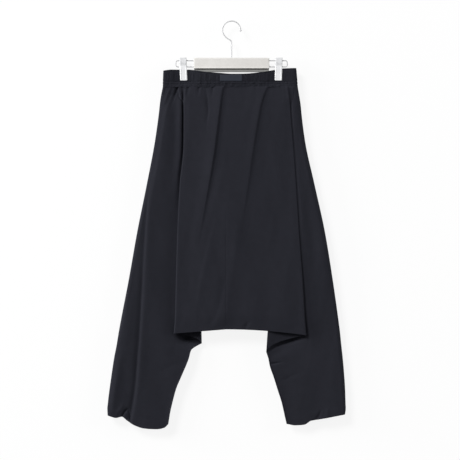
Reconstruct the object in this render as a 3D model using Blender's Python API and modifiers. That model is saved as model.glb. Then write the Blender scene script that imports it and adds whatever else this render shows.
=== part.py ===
"""Harem trousers with a dropped crotch, held by the waistband on a clip hanger.

Metres, +Z up. The front faces -Y and +X is the viewer's right. The origin is the
inner top of the hook, where a rail carries it.

The cloth hangs as four panels. Each runs from its side seam across the leg, turns
back at the root of a deep pleat, turns again at the pleat's edge, and crosses the
apron to the centre seam. Front and back are folded together, so from the front the
layers are: apron front, apron back, pleat back, pleat front, leg front, leg back.
They are sewn together along the crotch line, under the apron and up to the legs.
Tables are in millimetres; "out" is the distance from the hook's line to either side.
"""

import math
from dataclasses import dataclass

import bpy
import numpy as np

MM = 0.001
NAME = "Harem_trousers_on_clip_hanger"

# Cloth
WALL = 1.4                # thickness of a panel
BAND_WALL = 2.6           # thickness of the cased elastic
SEAM = 0.3                # gap between pieces that are sewn together
CENTRE_GAP = 0.4          # the same at the centre seams, whose edges lean together
FOLD_AIR = 1.0            # least air between the two layers inside a fold
LAYER_STEP = WALL + FOLD_AIR
TOP_STEP = 5.0            # the same where the pleat starts, near the waist
SEWN_STEP = WALL + 2 * SEAM

WAIST_SEAM = -168.0       # height of the seam under the waistband
CROTCH = -808.0           # height of the crotch line at the side seams
SEWN_REACH = 80.0         # height over which the layers close up toward the crotch line
SIDE_ROUND = 10.0         # how far in from the side seam the cloth comes round
BACK_ROUND = 2.0          # how much nearer the back lies at its rounded side
HIP_BULGE = 3.0           # how far the leg swells between its edges
HIP_FADE = 60.0           # height below the waist seam over which the swell grows
INSEAM_LEAD = 1.6         # how far the inseam lies ahead of the leg's front

# Pleat
PLEAT_SET = -330.0        # height from which the pleat lies tight, downward
PLEAT_OPENING = 60.0      # height above it over which the pleat opens
SHORTEST_TURN = 3.0       # sideways reach of the tightest fold
TURN_SHARE = 0.7          # sideways reach of a fold for each millimetre of its depth
SLANT = 1.2               # how far the pleat's inside leans where it starts
SLANT_END = 8.0           # pleat depth from which it no longer leans
PLEAT_COVER = 2.0         # how far past the pleat the leg beneath stays flat
BACK_HOLD = 4.0           # how far past the pleat's root the apron's back stays flat

# Hanger
HOOK_RADIUS = 23.5
HOOK_WIRE = 1.5           # radius of the wire
HOOK_TIP = 2.6            # radius of the ball on its end
HOOK_START = 4.0          # degrees, where the arc starts at the tip
HOOK_END = 214.0          # degrees, where it leaves for the stem
STEM_TOP = -56.0
BAR_TOP, BAR_BOTTOM = -95.2, -121.7
BAR_HALF, BAR_DEPTH, BAR_ROUND = 98.0, 13.0, 2.5
RAIL_TOP, RAIL_BOTTOM = -101.8, -117.8
RAIL_END, RAIL_WIRE, RAIL_CORNER = 145.0, 1.3, 5.0
CLIP_OUT = 124.0          # the clips' middles, each side of the hook's line
CLIP_WIDTH, CLIP_PLATE = 19.0, 1.2
CLIP_TOP, CLIP_FOOT = -93.9, -154.2
CLIP_SPLAY = 9.5          # how far the handle's top stands off the rail
CLIP_LEAN = {"left": -0.04, "right": 0.025}    # sideways for each millimetre up
SPRING_RADIUS, SPRING_BORE, SPRING_LENGTH = 3.2, 1.7, 13.0


@dataclass(frozen=True)
class BodyRow:
    """One half of the body at one height: how far out each line lies."""

    height: float
    side: float        # outline at the side seam
    edge: float        # pleat's edge, where the apron turns back
    root: float        # pleat's root, where it turns out again to the leg
    crease: float      # soft crease that falls across the apron


@dataclass(frozen=True)
class DepthRow:
    """Where the layers lie from front to back at one height."""

    height: float
    apron_front: float     # at the centre seam
    apron_back: float
    edge_front: float      # the four layers stacked in the pleat
    edge_back: float
    pleat_back: float
    pleat_front: float
    root_front: float      # the leg's front, just behind the pleat
    leg_front: float       # the leg's front at the side
    leg_back: float
    side_seam: float


@dataclass(frozen=True)
class CrotchLine:
    """Heights where one half's crotch seam runs."""

    root: float
    edge: float
    centre: float
    bow: float             # 1 is straight from edge to centre, 2 is bowed


@dataclass(frozen=True)
class LegRow:
    """One leg below the crotch: its two edges, side and inner."""

    side: float
    side_height: float
    inner: float
    inner_height: float


@dataclass(frozen=True)
class HemRow:
    """How far the hem drops below the straight line between its corners."""

    share: float           # from side seam to inner seam
    drop: float


@dataclass(frozen=True)
class BandRow:
    """Height of the waistband's upper edge."""

    x: float
    top: float


BODY = {
    "left": (
        BodyRow(-168, 178.5, 120.5, 133.5, 20.5),
        BodyRow(-194, 183.6, 124.3, 129.0, 26.0),
        BodyRow(-210, 186.0, 124.6, 118.2, 28.5),
        BodyRow(-226, 187.7, 124.5, 114.3, 31.0),
        BodyRow(-241, 188.8, 124.4, 111.0, 33.0),
        BodyRow(-314, 198.5, 124.6, 107.0, 41.5),
        BodyRow(-423, 219.2, 134.4, 98.0, 58.5),
        BodyRow(-548, 245.0, 140.7, 90.0, 80.0),
        BodyRow(-672, 267.5, 144.3, 83.0, 88.0),
        BodyRow(-766, 285.7, 146.6, 78.5, 92.0),
        BodyRow(-808, 293.5, 149.5, 77.5, 94.0),
    ),
    "right": (
        BodyRow(-168, 172.0, 146.0, 156.5, 92.0),
        BodyRow(-194, 176.3, 151.0, 154.5, 83.0),
        BodyRow(-210, 179.0, 152.2, 145.8, 78.5),
        BodyRow(-226, 180.9, 153.1, 143.0, 75.0),
        BodyRow(-241, 182.3, 153.9, 140.4, 71.5),
        BodyRow(-314, 191.9, 160.4, 138.0, 60.0),
        BodyRow(-423, 215.8, 169.0, 128.5, 43.5),
        BodyRow(-548, 243.1, 177.3, 116.0, 24.0),
        BodyRow(-672, 263.4, 185.9, 104.0, 12.0),
        BodyRow(-766, 276.9, 191.4, 93.0, 8.0),
        BodyRow(-808, 282.4, 195.3, 90.0, 6.0),
    ),
}

DEPTHS = (
    DepthRow(-168, -8.0, 7.5, -6.9, 6.4, 6.6, -6.7, -6.5, -5.9, 6.6, 0.3),
    DepthRow(-194, -11.0, 5.5, -9.5, -7.0, 1.0, -4.5, 0.0, -4.5, 8.5, 1.5),
    DepthRow(-210, -12.5, 4.5, -10.5, -7.9, -4.0, -4.0, 0.0, -5.0, 9.0, 1.8),
    DepthRow(-226, -13.5, 3.5, -11.0, -8.4, -5.8, -3.1, -0.4, -5.5, 9.5, 2.0),
    DepthRow(-241, -14.5, 2.5, -11.5, -8.9, -6.3, -3.6, -0.9, -6.0, 10.0, 2.0),
    DepthRow(-314, -17.0, 0.0, -13.0, -10.3, -7.6, -4.9, -2.2, -7.0, 11.0, 2.0),
    DepthRow(-423, -20.0, -2.5, -15.0, -12.1, -9.2, -6.3, -3.4, -8.0, 12.0, 2.0),
    DepthRow(-548, -22.5, -4.5, -17.0, -13.8, -10.6, -7.4, -4.2, -9.0, 12.5, 2.0),
    DepthRow(-672, -24.0, -7.0, -18.5, -15.0, -11.5, -8.0, -4.5, -9.5, 12.5, 2.0),
    DepthRow(-766, -23.0, -10.0, -18.5, -15.0, -11.5, -8.0, -4.5, -9.5, 12.5, 2.0),
    DepthRow(-808, -20.0, -13.0, -18.0, -14.6, -11.2, -7.8, -4.4, -9.0, 12.5, 2.0),
)
HEM_DEPTHS = DepthRow(-1058, 0, 0, 0, 0, 0, -6.0, -3.0, -8.0, 11.0, 2.0)

CENTRE_SEAM = ((-168.0, -4.0), (-314.0, -9.0), (-548.0, -14.0), (-808.0, -14.0))

CROTCH_LINES = {
    "left": CrotchLine(root=-837.0, edge=-810.5, centre=-799.7, bow=1.0),
    "right": CrotchLine(root=-859.0, edge=-816.5, centre=-799.7, bow=2.0),
}

LEGS = {
    "left": (
        LegRow(298.5, -839.0, 104.0, -853.0),
        LegRow(305.5, -875.0, 111.8, -878.0),
        LegRow(311.5, -914.0, 128.0, -917.0),
        LegRow(317.0, -953.0, 143.3, -953.0),
        LegRow(321.1, -985.6, 153.4, -989.5),
        LegRow(322.9, -1006.5, 159.9, -1018.0),
        LegRow(322.1, -1024.2, 164.6, -1045.5),
    ),
    "right": (
        LegRow(285.5, -839.0, 95.4, -875.0),
        LegRow(289.4, -875.0, 99.6, -896.0),
        LegRow(292.8, -914.0, 109.5, -924.6),
        LegRow(295.4, -953.0, 119.3, -955.8),
        LegRow(296.4, -984.3, 130.0, -989.5),
        LegRow(296.9, -1005.2, 137.0, -1019.5),
        LegRow(295.1, -1021.3, 143.5, -1046.2),
    ),
}

HEMS = {
    "left": (
        HemRow(0.0, 0.0),
        HemRow(0.13, 3.0),
        HemRow(0.24, -2.0),
        HemRow(0.32, 6.0),
        HemRow(0.46, 15.5),
        HemRow(0.64, 20.0),
        HemRow(0.85, 13.0),
        HemRow(1.0, 0.0),
    ),
    "right": (
        HemRow(0.0, 0.0),
        HemRow(0.45, 1.5),
        HemRow(0.58, 1.5),
        HemRow(0.70, 9.0),
        HemRow(0.86, 7.0),
        HemRow(1.0, 0.0),
    ),
}

BAND_TOP = (
    BandRow(-178.0, -127.7),
    BandRow(-155.0, -125.5),
    BandRow(-113.0, -125.5),
    BandRow(-71.0, -131.0),
    BandRow(-30.0, -134.5),
    BandRow(0.0, -136.2),
    BandRow(32.0, -136.2),
    BandRow(74.0, -133.0),
    BandRow(105.0, -127.6),
    BandRow(136.0, -122.8),
    BandRow(172.0, -122.0),
)
BAND_SIDE_TOP = {"left": 177.5, "right": 168.5}

# Shares of the height between the waist seam and the crotch line, one a row of faces
BODY_ROWS = (
    0.0, 0.02, 0.0406, 0.0656, 0.0906, 0.12, 0.17, 0.24, 0.33, 0.43,
    0.53, 0.63, 0.73, 0.83, 0.91, 0.965, 1.0,
)
SIDE_ANGLES = (0.0, 20.0, 50.0, 90.0)
SPAN_SHARES = (0.16, 0.34, 0.52, 0.7, 0.86)
ROOT_ANGLES = (-90.0, -60.0, -30.0, 0.0, 45.0, 90.0)
EDGE_ANGLES = (-90.0, -45.0, 0.0, 45.0, 90.0)
PLEAT_SHARES = (0.33, 0.67)
APRON_SHARES = (0.3, 0.65)
CREASE_RISE = 2.0         # how far the crease stands out at the waist
CREASE_START = 30.0       # height below the waist seam over which it grows
CREASE_FADE = -560.0      # height where it has died away
CLOSING_START = 0.92      # share of the height where the crotch starts to close
SHELTER_FADE = 1.5        # the leg is free of the pleat at one part in this of its length

LABEL_FROM, LABEL_TO = -30.0, 27.0
LABEL_TOP, LABEL_BOTTOM = -138.6, -155.0
LABEL_WALL = 1.0

SIDE_SIGN = {"left": -1.0, "right": 1.0}
NEAR_FAR = {"front": -1.0, "back": 1.0}


def smooth(rows, column, height):
    """A table's column at a height: a cubic through its rows that never overshoots."""
    knots = np.array([row.height for row in rows])[::-1]
    values = np.array([getattr(row, column) for row in rows])[::-1]
    chord = np.diff(values) / np.diff(knots)
    product = chord[:-1] * chord[1:]
    total = chord[:-1] + chord[1:]
    bend = np.where(product > 0.0, 2.0 * product / np.where(total == 0.0, 1.0, total), 0.0)
    slope = np.concatenate([chord[:1], bend, chord[-1:]])
    i = int(np.clip(np.searchsorted(knots, height) - 1, 0, len(chord) - 1))
    span = knots[i + 1] - knots[i]
    s = float(np.clip((height - knots[i]) / span, 0.0, 1.0))
    rise = values[i] * (1 + 2 * s) * (1 - s) ** 2 + values[i + 1] * s * s * (3 - 2 * s)
    return rise + span * (slope[i] * s * (1 - s) ** 2 + slope[i + 1] * s * s * (s - 1))


def row_at(kind, rows, height):
    """A whole row of a table, worked out at a height between its rows."""
    names = [name for name in kind.__dataclass_fields__ if name != "height"]
    return kind(height, **{name: smooth(rows, name, height) for name in names})


def mix(a, b, share):
    return a + (b - a) * share


def within(level, low, high, margin=0.1):
    """The level, kept between two others and a tenth of the way clear of both."""
    low, high = min(low, high), max(low, high)
    return min(max(level, mix(low, high, margin)), mix(high, low, margin))


def ease(share):
    share = np.clip(share, 0.0, 1.0)
    return share * share * (3.0 - 2.0 * share)


def turn(edge, level, near, far, near_reach, far_reach, angles):
    """A fold in plan: points round its edge, from the depth near to the depth far."""
    angle = np.radians(angles)
    reach = np.where(angle < 0.0, near_reach, far_reach) * (1.0 - np.cos(angle))
    depth = np.where(angle < 0.0, near - level, level - far) * np.sin(angle)
    return np.column_stack([edge + reach, level - depth])


def fold_reach(depth):
    return max(SHORTEST_TURN, TURN_SHARE * abs(depth))


def pleat_reach(overlap, depth):
    """Sideways reach of a turn on the pleat's own side; below 0 it is only a step."""
    return float(np.clip(0.45 * overlap, -SHORTEST_TURN, 0.8 * abs(depth)))


def leg_part(side, root, shelter, seam_depth, at_side, at_root, swell):
    """Side seam to pleat root: a round edge, then the leg, flat where the pleat covers it."""
    angle = np.radians(SIDE_ANGLES)
    reach = min(SIDE_ROUND, abs(at_side - seam_depth), (side - root) / 2)
    rounded = np.column_stack([
        side - reach * (1.0 - np.cos(angle)),
        mix(seam_depth, at_side, np.sin(angle)),
    ])
    share = np.array(SPAN_SHARES)
    out = mix(side - reach, root, share)
    cover = np.clip((side - reach - out) / max(side - reach - shelter, 1.0), 0.0, 1.0)
    depth = mix(at_side, at_root, ease(cover)) + swell * np.sin(math.pi * cover)
    return np.vstack([rounded, np.column_stack([out, depth])])


def apron_part(start, free, seam, crease, at_edge, at_centre, rise):
    """Pleat edge to centre seam, past the soft crease; flat until it is free of the pleat."""
    shares = np.array(APRON_SHARES)
    out = np.concatenate([mix(start, crease, shares), [crease], mix(crease, seam, shares), [seam]])
    depth = mix(at_edge, at_centre, ease((free - out) / (free - seam)))
    depth[len(shares)] += rise
    return np.column_stack([out, depth])


def seam_run(side_name):
    """Each stretch of the inseam, from the crotch's corner down: its length for 1 mm of height."""
    corner = [(BODY[side_name][-1].root, CROTCH_LINES[side_name].root)]
    line = np.array(corner + [(row.inner, row.inner_height) for row in LEGS[side_name]])
    out, down = np.diff(line, axis=0).T
    return np.hypot(out, down) / np.abs(down)


def corner_step(side_name):
    """How far inside the back's crotch corner the front's lies, for their walls to stay apart."""
    last, line, leg = BODY[side_name][-1], CROTCH_LINES[side_name], LEGS[side_name][0]
    crotch = math.atan2(line.edge - line.root, last.edge - last.root)
    inseam = math.atan2(line.root - leg.inner_height, leg.inner - last.root)
    return SEWN_STEP / math.sin((crotch + inseam) / 2)


def body_section(side_name, layer, height, closing):
    """Plan points of one panel of the body at one height, side seam to centre seam."""
    size = row_at(BodyRow, BODY[side_name], height)
    deep = row_at(DepthRow, DEPTHS, height)
    back = layer == "back"
    loose = ease((height - CROTCH) / SEWN_REACH)
    opened = ease((height - PLEAT_SET) / PLEAT_OPENING)
    step = mix(mix(SEWN_STEP, LAYER_STEP, loose), TOP_STEP, opened)
    side = size.side - WALL / 2
    edge = size.edge - WALL / 2 - (step if back else 0.0)
    root = size.root + WALL / 2 + (0.0 if back else mix(step, corner_step(side_name), closing))
    seam_line = np.interp(-height, [-z for z, _ in CENTRE_SEAM], [x for _, x in CENTRE_SEAM])
    seam = SIDE_SIGN[side_name] * seam_line + CENTRE_GAP / 2
    overlap = size.edge - size.root - WALL - step
    root_level = (deep.pleat_front + deep.root_front) / 2
    edge_level = (deep.edge_back + deep.pleat_back) / 2
    if back:
        leg, at_side = deep.leg_back, deep.leg_back - BACK_ROUND
        pleat, apron = deep.pleat_back, deep.edge_back
        centre, rise, swell = deep.apron_back, 0.0, HIP_BULGE / 2
    else:
        leg, at_side = deep.root_front, deep.leg_front
        pleat, apron = deep.pleat_front, deep.edge_front
        fade = ease((height - CREASE_FADE) / (WAIST_SEAM - CREASE_FADE))
        centre, rise, swell = deep.apron_front, -CREASE_RISE * fade, -HIP_BULGE
    swell *= ease((WAIST_SEAM - height) / HIP_FADE)
    rise *= ease((WAIST_SEAM - height) / CREASE_START)
    root_level = within(root_level, pleat, leg)
    edge_level = within(edge_level, apron, pleat)
    slant = SLANT * (1.0 - ease(abs(overlap) / SLANT_END))
    root_turn = turn(
        root, root_level, leg, pleat + slant,
        fold_reach(leg - root_level), pleat_reach(overlap, root_level - pleat), ROOT_ANGLES,
    )
    edge_turn = turn(
        edge, edge_level, pleat - slant, apron,
        -pleat_reach(overlap, pleat - edge_level), -fold_reach(edge_level - apron), EDGE_ANGLES,
    )
    seam_depth = deep.side_seam + NEAR_FAR[layer] * SEAM
    shelter = max(size.edge, size.root) + PLEAT_COVER
    free = min(edge, root) - BACK_HOLD if back else edge_turn[-1, 0]
    leg_points = leg_part(side, root_turn[0, 0], shelter, seam_depth, at_side, leg, swell)
    pleat_out = mix(root_turn[-1, 0], edge_turn[0, 0], np.array(PLEAT_SHARES))
    pleat_depth = mix(pleat + slant, pleat - slant, np.array(PLEAT_SHARES))
    pleat_points = np.column_stack([pleat_out, pleat_depth])
    apron_points = apron_part(edge_turn[-1, 0], free, seam, size.crease, apron, centre, rise)
    return np.vstack([leg_points, root_turn, pleat_points, edge_turn, apron_points])


LEG_COLUMNS = len(SIDE_ANGLES) + len(SPAN_SHARES)
ROOT_COLUMN = LEG_COLUMNS + ROOT_ANGLES.index(0.0)     # where the inseam starts
EDGE_COLUMN = LEG_COLUMNS + len(ROOT_ANGLES) + len(PLEAT_SHARES) + EDGE_ANGLES.index(0.0)


def body_sections(side_name, height, share):
    """Front and back sections; toward the crotch they come together to be sewn."""
    closing = float(np.clip((share - CLOSING_START) / (1.0 - CLOSING_START), 0.0, 1.0)) ** 2
    front = body_section(side_name, "front", height, closing)
    back = body_section(side_name, "back", height, closing)
    pull = np.zeros(len(front))
    pull[ROOT_COLUMN + 1:] = closing
    between = back - front
    length = np.linalg.norm(between, axis=1, keepdims=True)
    apart = np.full(length.shape, SEWN_STEP)
    apart[EDGE_COLUMN - 1:EDGE_COLUMN + 2] = LAYER_STEP
    sewn = between / length * apart / 2
    middle = (front + back) / 2
    front = mix(front, middle - sewn, pull[:, None])
    back = mix(back, middle + sewn, pull[:, None])
    return front, back


def crotch_heights(side_name, section):
    """Height of the body's lowest row at each column."""
    line = CROTCH_LINES[side_name]
    out = section[:, 0]
    heights = np.empty(len(out))
    leg = slice(0, ROOT_COLUMN)
    to_root = (out[0] - out[leg]) / (out[0] - out[ROOT_COLUMN])
    heights[leg] = mix(CROTCH, line.root, to_root ** 3)
    pleat = slice(ROOT_COLUMN, EDGE_COLUMN)
    along = np.abs(out[pleat] - out[ROOT_COLUMN]) / (out[EDGE_COLUMN] - out[ROOT_COLUMN])
    heights[pleat] = mix(line.root, line.edge, along)
    apron = slice(EDGE_COLUMN, len(out))
    from_seam = (out[apron] - out[-1]) / (out[EDGE_COLUMN] - out[-1])
    heights[apron] = mix(line.centre, line.edge, from_seam ** line.bow)
    return heights


def leg_section(side_name, layer, index):
    """Points (out, depth, height) of one row of a leg, side seam to inseam."""
    rows = LEGS[side_name]
    row = rows[index]
    share = (index + 1) / len(rows)
    low = row_at(DepthRow, DEPTHS, CROTCH)
    names = ("pleat_front", "root_front", "leg_front", "leg_back", "side_seam")
    deep = {name: mix(getattr(low, name), getattr(HEM_DEPTHS, name), share) for name in names}
    level = mix((low.pleat_front + low.root_front) / 2, deep["root_front"] - INSEAM_LEAD, share)
    back = layer == "back"
    side = row.side - WALL / 2
    lip = SEWN_STEP * seam_run(side_name)[index:index + 2].max()
    root = row.inner + WALL / 2 + (0.0 if back else lip)
    leg = deep["leg_back"] if back else deep["root_front"]
    at_side = deep["leg_back"] - BACK_ROUND if back else deep["leg_front"]
    angles = [angle for angle in ROOT_ANGLES if angle <= 0.0]
    inner = turn(root, level, leg, level, fold_reach(leg - level), 0.0, angles)
    seam_depth = deep["side_seam"] + NEAR_FAR[layer] * SEAM
    last_edge = BODY[side_name][-1].edge
    shelter = mix(last_edge, inner[0, 0], ease(share * SHELTER_FADE))
    swell = HIP_BULGE / 2 if back else -HIP_BULGE
    outer = leg_part(side, inner[0, 0], shelter, seam_depth, at_side, leg, swell)
    plan = np.vstack([outer, inner])
    across = (plan[0, 0] - plan[:, 0]) / (plan[0, 0] - plan[-1, 0])
    drop = np.interp(across, [h.share for h in HEMS[side_name]], [h.drop for h in HEMS[side_name]])
    height = mix(row.side_height, row.inner_height, across) - drop * share ** 3
    return np.column_stack([plan, height])


def panel_points(side_name, layer):
    """The panel's body rows, each (columns, 3), and its leg rows."""
    pick = 0 if layer == "front" else 1
    last = body_sections(side_name, CROTCH, 1.0)[pick]
    floor = crotch_heights(side_name, last)
    body = []
    for share in BODY_ROWS:
        section = body_sections(side_name, mix(WAIST_SEAM, CROTCH, share), share)[pick]
        height = mix(WAIST_SEAM - SEAM, floor, share)
        body.append(np.column_stack([section, height]))
    legs = [leg_section(side_name, layer, i) for i in range(len(LEGS[side_name]))]
    return body, legs


def grid_faces(rows, columns, first=0):
    """Quads of a grid whose points are numbered row by row from first."""
    corner = first + np.arange(rows - 1)[:, None] * columns + np.arange(columns - 1)[None, :]
    corner = corner.reshape(-1)
    return np.column_stack([corner, corner + 1, corner + 1 + columns, corner + columns])


def principled(name, colour, roughness, metallic):
    material = bpy.data.materials.new(name)
    material.use_nodes = True
    shader = material.node_tree.nodes["Principled BSDF"]
    shader.inputs["Base Color"].default_value = (*colour, 1.0)
    shader.inputs["Roughness"].default_value = roughness
    shader.inputs["Metallic"].default_value = metallic
    material.diffuse_color = (*colour, 1.0)
    return material


def add_object(name, data, material, collection):
    thing = bpy.data.objects.new(name, data)
    collection.objects.link(thing)
    data.materials.append(material)
    return thing


def cloth_sheet(name, points, faces, wall, material, collection):
    """An open surface in millimetres, given its wall half to each side."""
    mesh = bpy.data.meshes.new(name)
    mesh.from_pydata((np.asarray(points) * MM).tolist(), [], np.asarray(faces).tolist())
    mesh.shade_smooth()
    sheet = add_object(name, mesh, material, collection)
    solidify = sheet.modifiers.new("Wall", "SOLIDIFY")
    solidify.thickness = wall * MM
    solidify.offset = 0.0
    solidify.use_even_offset = True
    return sheet


def build_panel(side_name, layer, material, collection):
    body, legs = panel_points(side_name, layer)
    columns, leg_columns = len(body[0]), ROOT_COLUMN + 1
    faces = [grid_faces(len(body), columns)]
    count = len(body) * columns
    top = (len(body) - 1) * columns + np.arange(leg_columns - 1)
    below = count + np.arange(leg_columns - 1)
    faces.append(np.column_stack([top, top + 1, below + 1, below]))
    faces.append(grid_faces(len(legs), leg_columns, count))
    points = np.vstack(body + legs)
    points[:, 0] *= SIDE_SIGN[side_name]
    faces = np.vstack(faces)
    turned = (side_name == "left") == (layer == "front")
    if turned:
        faces = faces[:, ::-1]
    return cloth_sheet(f"{layer}_{side_name}", points, faces, WALL, material, collection)


def band_top(x):
    return float(np.interp(x, [row.x for row in BAND_TOP], [row.top for row in BAND_TOP]))


BAND_ROUND = 7.0          # how far in from the side seam the band comes round
BAND_SIDE, BAND_BELLY = 5.9, 2.1               # half its depth at the sides, and more at the middle
BAND_SEAM = 0.47          # half the gap at the band's side seams, whose ends lean together
BAND_REACH = 170.0                             # where that half depth is measured
BAND_PINCH = BAND_WALL / 2 + SEAM / 2          # half the space between front and back at a clip
PINCH_HALF, PINCH_FADE = 11.0, 34.0            # pinched flat so far from a clip's middle, then easing
BAND_STATIONS = (
    -150.0, -CLIP_OUT - PINCH_HALF, -CLIP_OUT + PINCH_HALF, -98.0, -82.0, -57.0, -30.0, -11.0,
    8.0, 27.0, 56.0, 82.0, 98.0, CLIP_OUT - PINCH_HALF, CLIP_OUT + PINCH_HALF, 150.0,
)
BAND_SHARES = (0.0, 0.36, 0.72, 0.92, 1.0)


def band_depth(x, share, layer):
    """How far the band stands off the hanger's plane: pinched flat under each clip."""
    bow = BAND_SIDE + BAND_BELLY * (1.0 - (x / BAND_REACH) ** 2)
    off = abs(abs(x) - CLIP_OUT)
    pinch = 1.0 - ease((off - PINCH_HALF) / PINCH_FADE)
    pinch *= 1.0 if share <= BAND_SHARES[2] else 0.0
    return NEAR_FAR[layer] * mix(bow, BAND_PINCH, pinch)


def band_line(share, layer):
    """One row of the waistband from its left side seam to its right one, with heights."""
    angle = np.radians(SIDE_ANGLES)
    sides = {}
    for side_name, sign in SIDE_SIGN.items():
        low = BODY[side_name][0].side - WALL / 2
        end = mix(BAND_SIDE_TOP[side_name] - WALL / 2, low, share)
        out = end - BAND_ROUND * (1.0 - np.cos(angle))
        at_side = band_depth(sign * out[-1], share, layer)
        depth = mix(NEAR_FAR[layer] * BAND_SEAM, at_side, np.sin(angle))
        sides[side_name] = np.column_stack([sign * out, depth])
    inner = np.array([[x, band_depth(x, share, layer)] for x in BAND_STATIONS])
    plan = np.vstack([sides["left"], inner, sides["right"][::-1]])
    foot = WAIST_SEAM + SEAM
    heights = [mix(band_top(x), foot, share) for x in plan[:, 0]]
    return np.column_stack([plan, heights])


def build_band(layer, material, collection):
    rows = [band_line(share, layer) for share in BAND_SHARES]
    faces = grid_faces(len(rows), len(rows[0]))
    if layer == "front":
        faces = faces[:, ::-1]
    return cloth_sheet(
        f"waistband_{layer}", np.vstack(rows), faces, BAND_WALL, material, collection
    )


def build_label(material, collection):
    """The blank woven label: the band's own front, moved out."""
    stations = [x for x in BAND_STATIONS if LABEL_FROM <= x <= LABEL_TO]
    off = BAND_WALL / 2 + SEAM + LABEL_WALL / 2
    rows = []
    for height in (LABEL_TOP, LABEL_BOTTOM):
        depth = [band_depth(x, 0.5, "front") - off for x in stations]
        rows.append(np.column_stack([stations, depth, np.full(len(stations), height)]))
    faces = grid_faces(2, len(stations))[:, ::-1]
    return cloth_sheet("label", np.vstack(rows), faces, LABEL_WALL, material, collection)


def wire(name, points, radius, material, collection):
    """A round wire through points in millimetres."""
    curve = bpy.data.curves.new(name, "CURVE")
    curve.dimensions = "3D"
    curve.bevel_depth = radius * MM
    curve.bevel_resolution = 2
    curve.use_fill_caps = True
    spline = curve.splines.new("POLY")
    spline.points.add(len(points) - 1)
    for point, place in zip(spline.points, points):
        point.co = (*(value * MM for value in place), 1.0)
    return add_object(name, curve, material, collection)


def arc(centre, radius, start, end, count):
    """Points (x, z) on an arc between two angles in degrees."""
    angle = np.radians(np.linspace(start, end, count))
    return np.column_stack([centre[0] + radius * np.cos(angle), centre[1] + radius * np.sin(angle)])


def build_hook(material, tip_material, collection):
    centre = (0.0, HOOK_WIRE - HOOK_RADIUS)
    loop = arc(centre, HOOK_RADIUS, HOOK_START, HOOK_END, 26)
    leave = np.radians(HOOK_END)
    heading = np.array([-math.sin(leave), math.cos(leave)])
    reach = 14.0
    start, foot = loop[-1], np.array([0.0, STEM_TOP])
    bend = []
    for t in np.linspace(0.0, 1.0, 9)[1:]:
        near, far = start + heading * reach * 1.2, foot + np.array([0.0, reach * 0.8])
        bend.append(
            (1 - t) ** 3 * start + 3 * t * (1 - t) ** 2 * near + 3 * t * t * (1 - t) * far + t ** 3 * foot
        )
    stem = np.array([[0.0, mix(STEM_TOP, BAR_TOP + SEAM, t)] for t in (0.5, 1.0)])
    path = np.vstack([loop, bend, stem])
    points = np.column_stack([path[:, 0], np.zeros(len(path)), path[:, 1]])
    wire("hanger_hook", points, HOOK_WIRE, material, collection)
    first = np.radians(HOOK_START)
    back = np.array([math.sin(first), -math.cos(first)]) * (HOOK_TIP + SEAM)
    place = loop[0] + back
    bpy.ops.mesh.primitive_uv_sphere_add(
        segments=16, ring_count=8, radius=HOOK_TIP * MM, location=(place[0] * MM, 0.0, place[1] * MM)
    )
    adopt("hanger_hook_tip", tip_material, collection)


def adopt(name, material, collection):
    """Names the object that a primitive operator has just made and moves it to the collection."""
    thing = bpy.context.object
    for other in list(thing.users_collection):
        other.objects.unlink(thing)
    collection.objects.link(thing)
    thing.name = name
    thing.data.name = name
    thing.data.materials.append(material)
    return thing


def bevel(thing, width, segments):
    modifier = thing.modifiers.new("Edges", "BEVEL")
    modifier.width = width * MM
    modifier.segments = segments
    modifier.limit_method = "ANGLE"


def build_bar(material, collection):
    middle = (BAR_TOP + BAR_BOTTOM) / 2
    bpy.ops.mesh.primitive_cube_add(size=1.0, location=(0.0, 0.0, middle * MM))
    bar = adopt("hanger_bar", material, collection)
    size = (2 * BAR_HALF, BAR_DEPTH, BAR_TOP - BAR_BOTTOM)
    for vertex in bar.data.vertices:
        vertex.co = [value * length * MM for value, length in zip(vertex.co, size)]
    bevel(bar, BAR_ROUND, 3)


def build_rail(side_name, material, collection):
    """A wire loop that stands out of the bar's end, for the clip to slide on."""
    sign = SIDE_SIGN[side_name]
    start = BAR_HALF + SEAM
    turn_out = RAIL_END - RAIL_CORNER
    top = arc((turn_out, RAIL_TOP - RAIL_CORNER), RAIL_CORNER, 90.0, 0.0, 6)
    bottom = arc((turn_out, RAIL_BOTTOM + RAIL_CORNER), RAIL_CORNER, 0.0, -90.0, 6)
    path = np.vstack([[start, RAIL_TOP], top, bottom, [start, RAIL_BOTTOM]])
    points = np.column_stack([sign * path[:, 0], np.zeros(len(path)), path[:, 1]])
    wire(f"hanger_rail_{side_name}", points, RAIL_WIRE, material, collection)


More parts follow.
